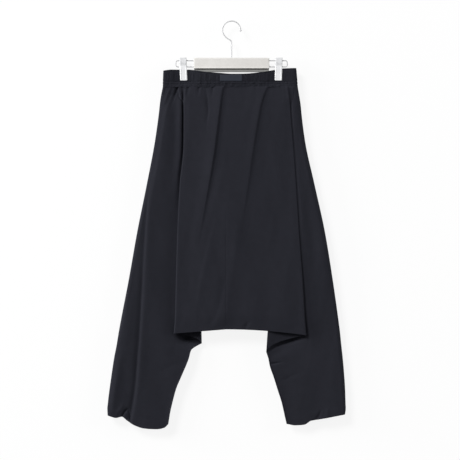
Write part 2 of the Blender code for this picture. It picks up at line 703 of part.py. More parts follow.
def build_clip(side_name, material, collection):
    """Two sprung plates: the feet pinch the waistband, the handles stand apart above the wire."""
    middle = SIDE_SIGN[side_name] * CLIP_OUT
    foot = BAND_PINCH + BAND_WALL / 2 + SEAM + CLIP_PLATE / 2
    waist = SPRING_RADIUS + SEAM + CLIP_PLATE / 2
    profile = (
        (foot, CLIP_FOOT),
        (foot, CLIP_FOOT + 17.0),
        (waist, RAIL_BOTTOM - 3.0),
        (waist, RAIL_BOTTOM + 2.0),
        (mix(waist, CLIP_SPLAY, 0.45), RAIL_BOTTOM + 11.0),
        (CLIP_SPLAY, CLIP_TOP),
    )
    for layer, sign in NEAR_FAR.items():
        points = []
        for off, height in profile:
            lean = CLIP_LEAN[side_name] * (height - RAIL_BOTTOM)
            for x in (-CLIP_WIDTH / 2, CLIP_WIDTH / 2):
                points.append((middle + lean + x, sign * off, height))
        faces = grid_faces(len(profile), 2)
        if layer == "back":
            faces = faces[:, ::-1]
        name = f"clip_{side_name}_{layer}"
        plate = cloth_sheet(name, points, faces, CLIP_PLATE, material, collection)
        plate.modifiers["Wall"].name = "Plate"
        bevel(plate, 0.35, 2)
    spring_profile = (
        (SPRING_BORE, SPRING_LENGTH / 2),
        (SPRING_RADIUS, SPRING_LENGTH / 2),
        (SPRING_RADIUS, -SPRING_LENGTH / 2),
        (SPRING_BORE, -SPRING_LENGTH / 2),
    )
    mesh = bpy.data.meshes.new(f"clip_{side_name}_spring")
    corners = [(radius * MM, 0.0, along * MM) for radius, along in spring_profile]
    mesh.from_pydata(corners, [(0, 1), (1, 2), (2, 3), (3, 0)], [])
    spring = add_object(f"clip_{side_name}_spring", mesh, material, collection)
    spring.location = (middle * MM, 0.0, RAIL_BOTTOM * MM)
    spring.rotation_euler = (0.0, math.pi / 2, 0.0)
    screw = spring.modifiers.new("Turn", "SCREW")
    screw.steps = screw.render_steps = 20
    screw.use_merge_vertices = True
    screw.merge_threshold = 0.0001


def main():
    for thing in list(bpy.data.objects):
        bpy.data.objects.remove(thing, do_unlink=True)
    collection = bpy.data.collections.new(NAME)
    bpy.context.scene.collection.children.link(collection)
    cloth = principled("navy_cloth", (0.019, 0.021, 0.028), 0.85, 0.0)
    band = principled("navy_band", (0.018, 0.020, 0.027), 0.85, 0.0)
    label = principled("woven_label", (0.036, 0.041, 0.050), 0.55, 0.0)
    steel = principled("polished_steel", (0.60, 0.60, 0.61), 0.22, 1.0)
    clip = principled("clip_metal", (0.78, 0.79, 0.80), 0.35, 0.0)
    wood = principled("painted_bar", (0.70, 0.67, 0.63), 0.5, 0.0)
    for side_name in SIDE_SIGN:
        for layer in NEAR_FAR:
            build_panel(side_name, layer, cloth, collection)
    for layer in NEAR_FAR:
        build_band(layer, band, collection)
    build_label(label, collection)
    build_hook(steel, steel, collection)
    build_bar(wood, collection)
    for side_name in SIDE_SIGN:
        build_rail(side_name, steel, collection)
        build_clip(side_name, clip, collection)


main()
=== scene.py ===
"""Looks of the harem trousers on a clip hanger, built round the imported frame.

Each cloth panel is one thin shell on the form of its solid: it runs from its side seam
across the leg, turns back at the root of the deep pleat, turns again at the pleat's edge
and crosses the apron to the centre seam. Creases, gathers and undulations then move that
sheet forward or back. Sizes are in millimetres until a mesh is made; "out" is the
distance from the hook's line to either side, +Z is up and the front faces -Y.
"""

import logging
import math
from dataclasses import dataclass, field
from enum import Enum

import bpy
import numpy as np
from numpy.typing import NDArray
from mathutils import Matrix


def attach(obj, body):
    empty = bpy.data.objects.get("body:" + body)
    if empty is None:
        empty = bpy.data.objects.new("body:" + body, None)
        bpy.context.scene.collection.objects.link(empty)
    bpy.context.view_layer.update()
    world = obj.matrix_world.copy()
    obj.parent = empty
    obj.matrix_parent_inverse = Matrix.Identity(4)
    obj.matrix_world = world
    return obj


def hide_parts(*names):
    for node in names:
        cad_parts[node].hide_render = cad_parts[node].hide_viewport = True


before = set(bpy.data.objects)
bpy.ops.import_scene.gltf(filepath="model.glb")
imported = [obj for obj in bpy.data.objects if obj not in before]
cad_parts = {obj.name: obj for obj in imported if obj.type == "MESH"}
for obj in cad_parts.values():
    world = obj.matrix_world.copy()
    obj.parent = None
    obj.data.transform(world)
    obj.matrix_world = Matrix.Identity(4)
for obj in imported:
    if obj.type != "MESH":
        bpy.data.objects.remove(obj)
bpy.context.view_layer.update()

Values = NDArray[np.float64]
Indices = NDArray[np.int64]
Tree, Node, Socket = bpy.types.NodeTree, bpy.types.Node, bpy.types.NodeSocket
Piece, Material = bpy.types.Object, bpy.types.Material
Pair, Triple = tuple[float, float], tuple[float, float, float]
Quad = tuple[float, float, float, float]

MM = 0.001
BODY_NAME = "root"
LOG = logging.getLogger("trousers")


class Side(Enum):
    """Which half of the garment, as the viewer sees it; the value is its sign along X."""

    LEFT = -1.0
    RIGHT = 1.0


class Layer(Enum):
    """Which layer of cloth; the value is its sign along Y."""

    FRONT = -1.0
    BACK = 1.0


# ---- plain functions


def mix(start: Values | float, end: Values | float, share: Values | float) -> Values:
    """Straight-line mix of two values: the start, plus the share of the way to the end."""
    return np.asarray(start + (end - start) * share)


def ease(share: Values | float) -> Values:
    """Smooth step from 0 to 1: three squares less two cubes of the clipped share."""
    share = np.clip(share, 0.0, 1.0)
    return share * share * (3.0 - 2.0 * share)


def between(level: Values, one: Values, other: Values, clear: float = 0.1) -> Values:
    """Keeps a level between two others, a share of the way clear of both.

    Args:
        level: the level to keep inside.
        one: one limit.
        other: the other limit.
        clear: the share.

    Returns:
        The level, moved to the nearest allowed place.
    """
    low, high = np.minimum(one, other), np.maximum(one, other)
    return np.clip(level, mix(low, high, clear), mix(high, low, clear))


@dataclass(frozen=True)
class Table:
    """A short table of named columns, read between its rows."""

    columns: tuple[str, ...]
    rows: tuple[tuple[float, ...], ...]

    def at(self, column: str, place: Values | float) -> Values:
        """Reads a column at any place of the first column.

        The curve is a cubic through the rows whose slope at each row is the harmonic mean
        of the chords beside it, or nought where they turn, so it never overshoots.

        Args:
            column: name of the column to read.
            place: places along the first column.

        Returns:
            The column's values, in the shape of the places.
        """
        data = np.array(self.rows, float)
        data = data[np.argsort(data[:, 0])]
        knots, values = data[:, 0], data[:, self.columns.index(column)]
        span = np.diff(knots)
        chord = np.diff(values) / span
        product, total = chord[:-1] * chord[1:], chord[:-1] + chord[1:]
        bend = np.where(product > 0.0, 2.0 * product / np.where(total == 0.0, 1.0, total), 0.0)
        slope = np.concatenate([chord[:1], bend, chord[-1:]])
        row = np.clip(np.searchsorted(knots, place) - 1, 0, len(span) - 1)
        s = np.clip((place - knots[row]) / span[row], 0.0, 1.0)
        rise = values[row] * (1 + 2 * s) * (1 - s) ** 2 + values[row + 1] * s * s * (3 - 2 * s)
        return rise + span[row] * (slope[row] * s * (1 - s) ** 2 + slope[row + 1] * s * s * (s - 1))


# ---- surfaces and meshes


@dataclass
class Surface:
    """Points in millimetres, faces of four corners, and a place on the cut cloth for each point."""

    points: Values
    faces: Indices
    cut: Values | None = None


def grid_faces(rows: int, columns: int, first: int = 0) -> Indices:
    """Quads of a grid of points numbered row by row from first.

    Args:
        rows: rows of points.
        columns: points in each.
        first: number of the first point.

    Returns:
        The faces, four corners each.
    """
    corner = first + np.arange(rows - 1)[:, None] * columns + np.arange(columns - 1)[None, :]
    corner = corner.reshape(-1)
    return np.column_stack([corner, corner + 1, corner + 1 + columns, corner + columns])


def joined(parts: list[Surface]) -> Surface:
    """Several surfaces as one, with their points numbered on.

    Args:
        parts: the surfaces.

    Returns:
        The one surface.
    """
    first = np.cumsum([0] + [len(part.points) for part in parts[:-1]])
    faces = np.vstack([part.faces + start for part, start in zip(parts, first)])
    cut = None if parts[0].cut is None else np.vstack([part.cut for part in parts])
    return Surface(np.vstack([part.points for part in parts]), faces, cut)


def facing_out(surface: Surface) -> Surface:
    """Turns a closed surface over if the volume that its faces enclose comes out negative.

    Args:
        surface: the surface, which is changed.

    Returns:
        The same surface, its faces outward.
    """
    corner = surface.points[surface.faces]
    first = np.einsum("ij,ij->i", corner[:, 0], np.cross(corner[:, 1], corner[:, 2]))
    second = np.einsum("ij,ij->i", corner[:, 0], np.cross(corner[:, 2], corner[:, 3]))
    if (first + second).sum() < 0.0:
        surface.faces = surface.faces[:, ::-1]
    return surface


def normals_of(points: Values, faces: Indices) -> Values:
    """Unit normal at each point: the sum of its faces' crossed diagonals, at length one.

    Args:
        points: points, (count, 3).
        faces: their faces.

    Returns:
        Normals, (count, 3).
    """
    corner = points[faces]
    across = np.cross(corner[:, 2] - corner[:, 0], corner[:, 3] - corner[:, 1])
    total = np.zeros_like(points)
    for index in range(4):
        np.add.at(total, faces[:, index], across)
    return total / np.maximum(np.linalg.norm(total, axis=1, keepdims=True), 1e-12)


def shell(sheet: Surface, wall: Values | float) -> Surface:
    """Gives an open sheet a wall.

    Each point moves half the wall along its normal to one side and to the other, and each
    open edge gets a rim from the one side to the other.

    Args:
        sheet: the open sheet, in the middle of the wall.
        wall: thickness, for the whole sheet or for each point.

    Returns:
        The closed surface, its faces outward.
    """
    half = normals_of(sheet.points, sheet.faces) * np.asarray(wall).reshape(-1, 1) / 2
    count = len(sheet.points)
    start = sheet.faces.reshape(-1)
    end = np.roll(sheet.faces, -1, axis=1).reshape(-1)
    lone = ~np.isin(start * count + end, end * count + start)
    start, end = start[lone], end[lone]
    rim = np.column_stack([end, start, start + count, end + count])
    faces = np.vstack([sheet.faces, sheet.faces[:, ::-1] + count, rim])
    points = np.vstack([sheet.points + half, sheet.points - half])
    cut = None if sheet.cut is None else np.vstack([sheet.cut, sheet.cut])
    return facing_out(Surface(points, faces, cut))


def capped_rings(rings: Values) -> Surface:
    """A closed skin over rings of points, with a flat cap at each end.

    Args:
        rings: points (sections, sides, 3), with an even number of sides.

    Returns:
        The closed surface.
    """
    sections, sides = rings.shape[:2]
    points = rings.reshape(-1, 3)
    here = np.arange(sections - 1)[:, None] * sides + np.arange(sides)[None, :]
    beside = np.arange(sections - 1)[:, None] * sides + (np.arange(sides)[None, :] + 1) % sides
    here, beside = here.reshape(-1), beside.reshape(-1)
    skin = np.column_stack([here, beside, beside + sides, here + sides])
    odd = np.arange(1, sides - 2, 2)
    cap = np.column_stack([np.zeros_like(odd), odd, odd + 1, odd + 2])
    far = cap[:, ::-1] + (sections - 1) * sides
    return facing_out(Surface(points, np.vstack([skin, cap[:, ::-1], far[:, ::-1]])))


def strip_skin(rings: Values) -> Surface:
    """A closed skin over two rings, with ladder caps.

    Args:
        rings: two rings; the second half of each mirrors its first.

    Returns:
        The closed surface.
    """
    half = rings.shape[1] // 2
    body = capped_rings(rings)
    skin = body.faces[:rings.shape[1]]
    rung = np.arange(half - 1)
    cap = np.column_stack([rung, rung + 1, 2 * half - 2 - rung, 2 * half - 1 - rung])
    far = cap[:, ::-1] + rings.shape[1]
    return facing_out(Surface(body.points, np.vstack([skin, cap[:, ::-1], far[:, ::-1]])))


def tube(path: Values, radius: Values | float, sides: int, reference: Values) -> Surface:
    """A round tube along a path.

    At each point a circle stands square to the path; its first axis is the reference less
    its part along the path, and its second is square to both.

    Args:
        path: points, (count, 3).
        radius: radius at each point.
        sides: corners of each circle, an even number.
        reference: a direction that is never along the path.

    Returns:
        The closed tube.
    """
    along = np.gradient(path, axis=0)
    along /= np.linalg.norm(along, axis=1, keepdims=True)
    first = reference - along * (along @ reference)[:, None]
    first /= np.linalg.norm(first, axis=1, keepdims=True)
    second = np.cross(along, first)
    angle = np.linspace(0.0, 2.0 * math.pi, sides, endpoint=False)
    radius = np.broadcast_to(np.asarray(radius, float), (len(path),))[:, None, None]
    across, up = np.cos(angle)[None, :, None], np.sin(angle)[None, :, None]
    circle = across * first[:, None] + up * second[:, None]
    return capped_rings(path[:, None] + circle * radius)


def in_scene(name: str, data: bpy.types.ID) -> Piece:
    """A new object in the scene, made of its data.

    Args:
        name: its name.
        data: a mesh, a light or a camera.

    Returns:
        The object.
    """
    made = bpy.data.objects.new(name, data)
    bpy.context.scene.collection.objects.link(made)
    return made


def add_object(
    name: str, surface: Surface, finish: "Finish", stands_for: tuple[str, ...] = (), sharp: float = 45.0
) -> Piece:
    """Makes an object of a surface, at the origin, and gives it its finish.

    Args:
        name: the piece's name.
        surface: its shape, in millimetres.
        finish: its finish, whose material it gets.
        stands_for: the frame's nodes that it replaces, if any.
        sharp: angle in degrees past which an edge stays crisp.

    Returns:
        The object, riding on the garment's one body.
    """
    mesh = bpy.data.meshes.new(name)
    mesh.from_pydata((surface.points * MM).tolist(), [], surface.faces.tolist())
    if surface.cut is not None:
        layer = mesh.uv_layers.new(name="Cut")
        layer.data.foreach_set("uv", (surface.cut[surface.faces.reshape(-1)] * MM).reshape(-1))
    mesh.shade_smooth()
    mesh.set_sharp_from_angle(angle=math.radians(sharp))
    mesh.materials.append(finish.material())
    piece = in_scene(name, mesh)
    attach(piece, BODY_NAME)
    if stands_for:
        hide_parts(*stands_for)
    LOG.info("%s: %d faces", name, len(surface.faces))
    return piece


# ---- shader effects


def feed(tree: Tree, socket: Socket, value: object) -> None:
    """Links an input to another node's output, or gives it a plain value.

    Args:
        tree: the node tree.
        socket: the input.
        value: an output or a plain value.
    """
    if isinstance(value, Socket):
        tree.links.new(value, socket)
    else:
        socket.default_value = value


def add_node(tree: Tree, kind: str, inputs: dict[str | int, object], **settings: object) -> Node:
    """Adds a shader node.

    Args:
        tree: the node tree.
        kind: the node's kind, less the words ShaderNode.
        inputs: a value or a socket for each input, by its name or number.
        settings: the node's own settings.

    Returns:
        The node.
    """
    node = tree.nodes.new(f"ShaderNode{kind}")
    for name, value in settings.items():
        setattr(node, name, value)
    for key, value in inputs.items():
        feed(tree, node.inputs[key], value)
    return node


def maths(tree: Tree, operation: str, *values: object) -> Socket:
    """The output of a Math node on numbers or sockets."""
    return add_node(tree, "Math", dict(enumerate(values)), operation=operation).outputs[0]


def set_constants(shader: Node, values: dict[str, object]) -> None:
    """Gives a shader's own inputs their plain values."""
    for name, value in values.items():
        shader.inputs[name].default_value = value


class Effect(Enum):
    """Shader effects that several finishes share, each one node group."""

    WEAVE = "Plain_weave"
    TONE = "Soft_tone"
    GRAIN = "Fine_grain"


class EffectGroups:
    """Makes each shared effect's node group once."""

    def __init__(self) -> None:
        """Starts with no group made."""
        self.made: dict[Effect, Tree] = {}

    def get(self, effect: Effect) -> Tree:
        """Finds the effect's group, made on its first use.

        Args:
            effect: the effect.

        Returns:
            Its node group.
        """
        if effect not in self.made:
            maker = {Effect.WEAVE: self.weave, Effect.TONE: self.tone, Effect.GRAIN: self.grain}
            self.made[effect] = maker[effect]()
        return self.made[effect]

    @staticmethod
    def start(effect: Effect, inputs: tuple[str, ...], outputs: tuple[str, ...]) -> Tree:
        """A new group with named sockets.

        Args:
            effect: the effect that it holds.
            inputs: names of its inputs: Vector and Stretch are vectors, and the others numbers.
            outputs: names of its outputs, all numbers.

        Returns:
            The group, with its input and output nodes named In and Out.
        """
        group = bpy.data.node_groups.new(effect.value, "ShaderNodeTree")
        for direction, names in (("INPUT", inputs), ("OUTPUT", outputs)):
            for name in names:
                kind = "NodeSocketVector" if name in ("Vector", "Stretch") else "NodeSocketFloat"
                group.interface.new_socket(name, in_out=direction, socket_type=kind)
        group.nodes.new("NodeGroupInput").name = "In"
        group.nodes.new("NodeGroupOutput").name = "Out"
        return group

    def weave(self) -> Tree:
        """Plain weave.

        Each thread is a half sine across; where the two sines' signs agree the warp lies on
        top, and elsewhere the weft. Gaps is 1 between the threads, where the cloth gets its painted
        shade.

        Returns:
            The group.
        """
        group = self.start(Effect.WEAVE, ("Vector", "Threads"), ("Height", "Gaps"))
        given, out = group.nodes["In"].outputs, group.nodes["Out"].inputs
        apart = add_node(group, "SeparateXYZ", {0: given["Vector"]}).outputs
        turns = maths(group, "MULTIPLY", given["Threads"], math.pi)
        warp = maths(group, "SINE", maths(group, "MULTIPLY", apart[0], turns))
        weft = maths(group, "SINE", maths(group, "MULTIPLY", apart[1], turns))
        on_top = maths(group, "GREATER_THAN", maths(group, "MULTIPLY", warp, weft), 0.0)
        over = maths(group, "MULTIPLY", on_top, maths(group, "ABSOLUTE", warp))
        below = maths(group, "SUBTRACT", 1.0, on_top)
        under = maths(group, "MULTIPLY", below, maths(group, "ABSOLUTE", weft))
        height = maths(group, "ADD", over, under)
        feed(group, out["Height"], height)
        feed(group, out["Gaps"], maths(group, "SUBTRACT", 1.0, maths(group, "POWER", height, 0.5)))
        return group

    def tone(self) -> Tree:
        """Slow unevenness of shade: two noises of different size, mixed and eased to 0 to 1.

        Returns:
            The group.
        """
        group = self.start(Effect.TONE, ("Vector", "Scale"), ("Value",))
        given = group.nodes["In"].outputs
        finer, lowest, highest = 9.0, 0.6, 1.4
        closer = maths(group, "MULTIPLY", given["Scale"], finer)
        broad, close = (
            add_node(group, "TexNoise", {"Vector": given["Vector"], "Scale": scale, "Detail": detail})
            for scale, detail in ((given["Scale"], 2.0), (closer, 4.0))
        )
        total = maths(group, "ADD", broad.outputs["Fac"], close.outputs["Fac"])
        spread = add_node(
            group, "MapRange", {"Value": total, "From Min": lowest, "From Max": highest},
            interpolation_type="SMOOTHSTEP",
        )
        feed(group, group.nodes["Out"].inputs["Value"], spread.outputs[0])
        return group

    def grain(self) -> Tree:
        """Fine streaks: a noise on coordinates that are stretched by the Stretch vector.

        Returns:
            The group.
        """
        group = self.start(Effect.GRAIN, ("Vector", "Stretch", "Scale"), ("Value",))
        given = group.nodes["In"].outputs
        factors = {0: given["Vector"], 1: given["Stretch"]}
        stretched = add_node(group, "VectorMath", factors, operation="MULTIPLY").outputs[0]
        noise = add_node(group, "TexNoise", {
            "Vector": stretched, "Scale": given["Scale"], "Detail": 5.0, "Roughness": 0.6,
        })
        feed(group, group.nodes["Out"].inputs["Value"], noise.outputs["Fac"])
        return group


EFFECTS = EffectGroups()


def effect_node(tree: Tree, effect: Effect, **values: object) -> Node:
    """A shared effect in a material, with a value or a socket for each of its inputs."""
    return add_node(tree, "Group", values, node_tree=EFFECTS.get(effect))


@dataclass(frozen=True)
class Finish:
    """A material, made once, and the name of a slot."""

    name: str
    slot: str
    dark: Triple
    light: Triple
    roughness: float

    def material(self) -> Material:
        """Makes the finish's material on its first use.

        Returns:
            The material.
        """
        found = bpy.data.materials.get(self.name)
        if found is not None:
            return found
        material = bpy.data.materials.new(self.name)
        material.use_nodes = True
        material.diffuse_color = (*self.light, 1.0)
        shader = material.node_tree.nodes["Principled BSDF"]
        shader.inputs["Roughness"].default_value = self.roughness
        self.dress(material.node_tree, shader)
        return material

    def dress(self, tree: Tree, shader: Node) -> None:
        """Adds the finish's own nodes; each kind of finish does this its own way."""
        raise NotImplementedError

    def shade(self, tree: Tree, mask: Socket, shader: Node) -> None:
        """Colours the shader from dark to light by a mask.

        Args:
            tree: the material's nodes.
            mask: 0 is dark and 1 is light.
            shader: the material's shader.
        """
        colours = {0: mask, 6: (*self.dark, 1.0), 7: (*self.light, 1.0)}
        ramp = add_node(tree, "Mix", colours, data_type="RGBA")
        tree.links.new(ramp.outputs[2], shader.inputs["Base Color"])


@dataclass(frozen=True)
class ClothFinish(Finish):
    """Woven cloth: threads on the cut's own coordinates, slow changes of shade, a faint sheen."""

    threads: float = 2000.0          # threads for each metre
    relief: float = 0.00012          # height of the bumps in metres
    sheen: float = 0.10
    specular: float = 0.11
    gap_painted_shade: float = 0.35          # painted shade: how much darker it is between threads

    def dress(self, tree: Tree, shader: Node) -> None:
        """Weave and fuzz as bump; colour from slow noise, with painted shade between the threads.

        Args:
            tree: the material's nodes.
            shader: the material's shader.
        """
        set_constants(shader, {
            "Sheen Weight": self.sheen, "Sheen Roughness": 0.45, "Sheen Tint": (0.75, 0.82, 1.0, 1.0),
            "Specular IOR Level": self.specular,
        })
        cut = add_node(tree, "UVMap", {}, uv_map="Cut").outputs[0]
        place = add_node(tree, "TexCoord", {}).outputs["Object"]
        weave = effect_node(tree, Effect.WEAVE, Vector=cut, Threads=self.threads).outputs
        tone = effect_node(tree, Effect.TONE, Vector=place, Scale=7.0).outputs["Value"]
        fuzz = effect_node(tree, Effect.GRAIN, Vector=place, Stretch=(1.0, 1.0, 0.35), Scale=900.0)
        # painted shade between the threads
        gaps = maths(tree, "MULTIPLY", weave["Gaps"], self.gap_painted_shade)
        mask = maths(tree, "SUBTRACT", tone, gaps)
        self.shade(tree, maths(tree, "MAXIMUM", mask, 0.0), shader)
        fine = add_node(tree, "Bump", {
            "Height": fuzz.outputs["Value"], "Distance": self.relief, "Strength": 0.25,
        })
        both = add_node(tree, "Bump", {
            "Height": weave["Height"], "Distance": self.relief, "Strength": 0.6,
            "Normal": fine.outputs["Normal"],
        })
        tree.links.new(both.outputs["Normal"], shader.inputs["Normal"])


@dataclass(frozen=True)
class MetalFinish(Finish):
    """Metal, bare or coated: fine streaks in its roughness and a slight unevenness."""

    metallic: float = 1.0
    streaks: Triple = (1.0, 1.0, 1.0)
    spread: float = 0.08             # how much the roughness changes
    coat: float = 0.0
    relief: float = 0.00005

    def dress(self, tree: Tree, shader: Node) -> None:
        """Roughness from streaks, shade from slow noise, and a very shallow bump.

        Args:
            tree: the material's nodes.
            shader: the material's shader.
        """
        set_constants(shader, {
            "Metallic": self.metallic, "Coat Weight": self.coat, "Coat Roughness": 0.25,
        })
        place = add_node(tree, "TexCoord", {}).outputs["Object"]
        tone = effect_node(tree, Effect.TONE, Vector=place, Scale=30.0)
        self.shade(tree, tone.outputs["Value"], shader)
        grain = effect_node(tree, Effect.GRAIN, Vector=place, Stretch=self.streaks, Scale=600.0)
        streaks = grain.outputs["Value"]
        least, most = self.roughness - self.spread, self.roughness + self.spread
        spread = add_node(tree, "MapRange", {"Value": streaks, "To Min": least, "To Max": most})
        tree.links.new(spread.outputs[0], shader.inputs["Roughness"])
        fine = add_node(tree, "Bump", {"Height": streaks, "Distance": self.relief, "Strength": 0.15})
        tree.links.new(fine.outputs["Normal"], shader.inputs["Normal"])


NAVY = ClothFinish(
    "Navy_woven_cloth", "navy_cloth", (0.0123, 0.0127, 0.0177), (0.0140, 0.0144, 0.0199), 0.85
)
NAVY_BAND = ClothFinish(
    "Navy_gathered_band", "navy_band", (0.0096, 0.0100, 0.0142), (0.0111, 0.0115, 0.0161), 0.85,
    relief=0.00016,
)
THREAD = ClothFinish(
    "Navy_sewing_thread", "navy_band", (0.016, 0.018, 0.025), (0.026, 0.028, 0.036), 0.6,
    threads=5000.0, relief=0.00004,
)
LABEL_SATIN = ClothFinish(
    "Blank_woven_label", "woven_label", (0.017, 0.0205, 0.030), (0.022, 0.026, 0.037), 0.6,
    threads=3600.0, relief=0.00006, sheen=0.1, specular=0.2,
)
CHROME = MetalFinish(
    "Polished_wire", "polished_steel", (0.55, 0.55, 0.56), (0.60, 0.60, 0.61), 0.55, metallic=0.25,
    spread=0.03, relief=0.000004,
)
CLIP_METAL = MetalFinish(
    "Pressed_clip_metal", "clip_metal", (0.685, 0.69, 0.70), (0.73, 0.735, 0.745), 0.5,
    metallic=0.1, streaks=(0.2, 1.0, 1.0), coat=0.15,
)
BAR_PAINT = MetalFinish(
    "Pale_painted_bar", "painted_bar", (0.575, 0.56, 0.535), (0.625, 0.61, 0.585), 0.5,
    metallic=0.0, streaks=(0.04, 1.0, 1.0), coat=0.15,
)
# painted shadow: a dark grey sheet that stands for the shade under the bar and the bar's shadow below it
PAINTED_BAR_SHADOW = MetalFinish(
    "Painted_shadow_under_bar", "painted_bar", (0.17, 0.17, 0.165), (0.21, 0.21, 0.20), 0.6,
    metallic=0.0, streaks=(0.04, 1.0, 1.0),
)

# ---- the garment's form

WAIST_SEAM = -168.0
WAIST_WIDTH = 350.0       # of the waist laid flat
CROTCH = -808.0           # height where the body ends at the side seams
CLOTH = 0.8               # wall of the visible cloth
SEAM_GROOVE = 0.5         # how far the centre seam draws the cloth in
SEAM_SHOWS = (0.1, 0.8)   # share of that near the waist and low down
SEAM_SETS_IN, SEAM_FADE = -470.0, 110.0            # it deepens from there down, over the fade
SEAM_WIDTH = 1.2
SEAM_COLUMNS = (4.5, 3.0, 1.9, 1.1, 0.5, 0.0)      # distances from it of the last columns
LAYER_STEP = 2.4          # least depth from one layer to the next inside a fold
TOP_STEP = 5.0            # the same where the pleat starts, near the waist
SEWN_STEP = CLOTH         # the same where the layers are sewn together
SEWN_REACH = 80.0         # height over which the layers close up toward the crotch line
SIDE_ROUND = 10.0         # widest reach of the rounded side
BACK_ROUND = 2.0          # how much less deep the back is there
HIP_BULGE = {Side.LEFT: 1.8, Side.RIGHT: 0.5}      # how far a leg swells, half of it behind
HIP_FADE = 60.0           # height below the waist over which that sets in
INSEAM_LEAD = 1.6         # how far in front of the leg the inseam lies at the hem
PLEAT_SET = -330.0        # above it the pleat's layers open
PLEAT_OPENING = 60.0      # and are a top step apart this far up
SHORTEST_TURN = 3.0       # least reach of a fold
TURN_SHARE = 0.7          # its reach, as a share of its depth
INNER_TURN = (0.45, 0.8)  # the same inside the pleat, of its overlap and at most of its depth
SLANT = 1.2               # how far the pleat's layers lean where they barely overlap
SLANT_END = 8.0           # the overlap past which they don't
PLEAT_COVER = 2.0         # how far past its edge the pleat covers the leg
BACK_HOLD = 4.0           # how far past the pleat the back's apron stays flat
CLOSING_START = 0.92      # share of the way down where front and back start to close
SHELTER_FADE = 1.5        # how fast the pleat's cover ends down the leg
DENTS = {Side.LEFT: 21.0, Side.RIGHT: 15.0}    # how far the cloth under the apron's foot falls back

BODY_COLUMNS = ("height", "side", "edge", "root", "crease")
BODY = {
    Side.LEFT: Table(BODY_COLUMNS, (
        (-168, 178.5, 120.5, 133.5, 20.5),
        (-194, 183.6, 124.3, 129, 26),
        (-210, 186, 124.6, 118.2, 28.5),
        (-226, 187.7, 124.5, 114.3, 31),
        (-241, 189.4, 124.4, 111, 33),
        (-314, 199.7, 124.6, 107, 41.5),
        (-423, 220.4, 134.4, 98, 58.5),
        (-548, 245.6, 140.7, 90, 80),
        (-672, 267.5, 144.3, 83, 88),
        (-766, 285.7, 146.6, 78.5, 92),
        (-808, 293.5, 149.5, 77.5, 94),
    )),
    Side.RIGHT: Table(BODY_COLUMNS, (
        (-168, 172, 146, 156.5, 92),
        (-194, 176.3, 151, 154.5, 83),
        (-210, 179, 152.2, 145.8, 78.5),
        (-226, 180.9, 153.1, 143, 75),
        (-241, 182.3, 153.9, 140.4, 71.5),
        (-314, 191.9, 160, 138, 60),
        (-423, 215.8, 167.8, 128.5, 43.5),
        (-548, 243.1, 175.8, 116, 24),
        (-672, 263.4, 185, 104, 12),
        (-766, 276.9, 190.4, 93, 8),
        (-808, 282.4, 193.6, 90, 6),
    )),
}

DEPTHS = Table(
    (
        "height", "apron_front", "apron_back", "edge_front", "edge_back", "pleat_back",
        "pleat_front", "root_front", "leg_front", "leg_back", "side_seam",
    ),
    (
        (-168, -8.0, 7.5, -6.9, 6.4, 6.6, -6.7, -6.5, -5.9, 6.6, 0.3),
        (-194, -11.0, 5.5, -9.5, -7.0, 1.0, -4.5, 0.0, -4.5, 8.5, 1.5),
        (-210, -12.5, 4.5, -10.5, -7.9, -4.0, -4.0, 0.0, -5.0, 9.0, 1.8),
        (-226, -13.5, 3.5, -11.0, -8.4, -5.8, -3.1, -0.4, -5.5, 9.5, 2.0),
        (-241, -14.5, 2.5, -11.5, -8.9, -6.3, -3.6, -0.9, -6.0, 10.0, 2.0),
        (-314, -17.0, 0.0, -13.0, -10.3, -7.6, -4.9, -2.2, -7.0, 11.0, 2.0),
        (-423, -20.0, -2.5, -15.0, -12.1, -9.2, -6.3, -3.4, -8.0, 12.0, 2.0),
        (-548, -22.5, -4.5, -17.0, -13.8, -10.6, -7.4, -4.2, -9.0, 12.5, 2.0),
        (-672, -24.0, -7.0, -18.5, -15.0, -11.5, -8.0, -4.5, -9.5, 12.5, 2.0),
        (-766, -23.0, -10.0, -18.5, -15.0, -11.5, -8.0, -4.5, -9.5, 12.5, 2.0),
        (-808, -20.0, -13.0, -18.0, -14.6, -11.2, -7.8, -4.4, -9.0, 12.5, 2.0),
    ),
)
HEM_DEPTHS = {"root_front": -3.0, "leg_front": -8.0, "leg_back": 11.0, "side_seam": 2.0}
# how far the right pleat's inner layers, and its root, close up toward the apron
TUCK = Table(("height", "share", "root"), (
    (-168, 0.3, 0.3), (-194, 0.1, 0.5), (-210, 0.5, 0.62), (-226, 0.74, 0.74),
    (-423, 0.74, 0.74), (-548, 0.66, 0.66), (-672, 0.5, 0.5), (-766, 0.35, 0.35),
    (-808, 0.1, 0.1),
))
CENTRE_SEAM = Table(("height", "x"), ((-168, -4), (-314, -9), (-548, -14), (-808, -14)))
CROTCH_LINES = Table(
    ("side", "root", "edge", "centre", "bow", "rise"),
    ((-1, -837.0, -810.5, -799.7, 1.0, 0.4), (1, -859.0, -815.0, -799.7, 2.0, 0.45)),
)
LEG_TABLE_COLUMNS = ("step", "side", "side_height", "inner", "inner_height")
LEGS = {
    Side.LEFT: Table(LEG_TABLE_COLUMNS, (
        (0, 293.5, -808, 77.5, -837),
        (1, 298.5, -839, 104, -853),
        (2, 305.5, -875, 111.8, -878),
        (3, 311.5, -914, 128, -917),
        (4, 317, -953, 143.3, -953),
        (5, 321.1, -985.6, 153.4, -989.5),
        (6, 322.9, -1006.5, 159.9, -1018),
        (7, 322.1, -1024.2, 164.6, -1045.5),
    )),
    Side.RIGHT: Table(LEG_TABLE_COLUMNS, (
        (0, 282.4, -808, 90, -859),
        (1, 285.5, -839, 95.4, -875),
        (2, 289.4, -875, 99.6, -896),
        (3, 292.8, -914, 109.5, -924.6),
        (4, 295.4, -953, 119.3, -955.8),
        (5, 296.4, -984.3, 130, -989.5),
        (6, 296.9, -1005.2, 137, -1019.5),
        (7, 295.1, -1021.3, 143.5, -1046.2),
    )),
}
LAST_STEP = 7.0
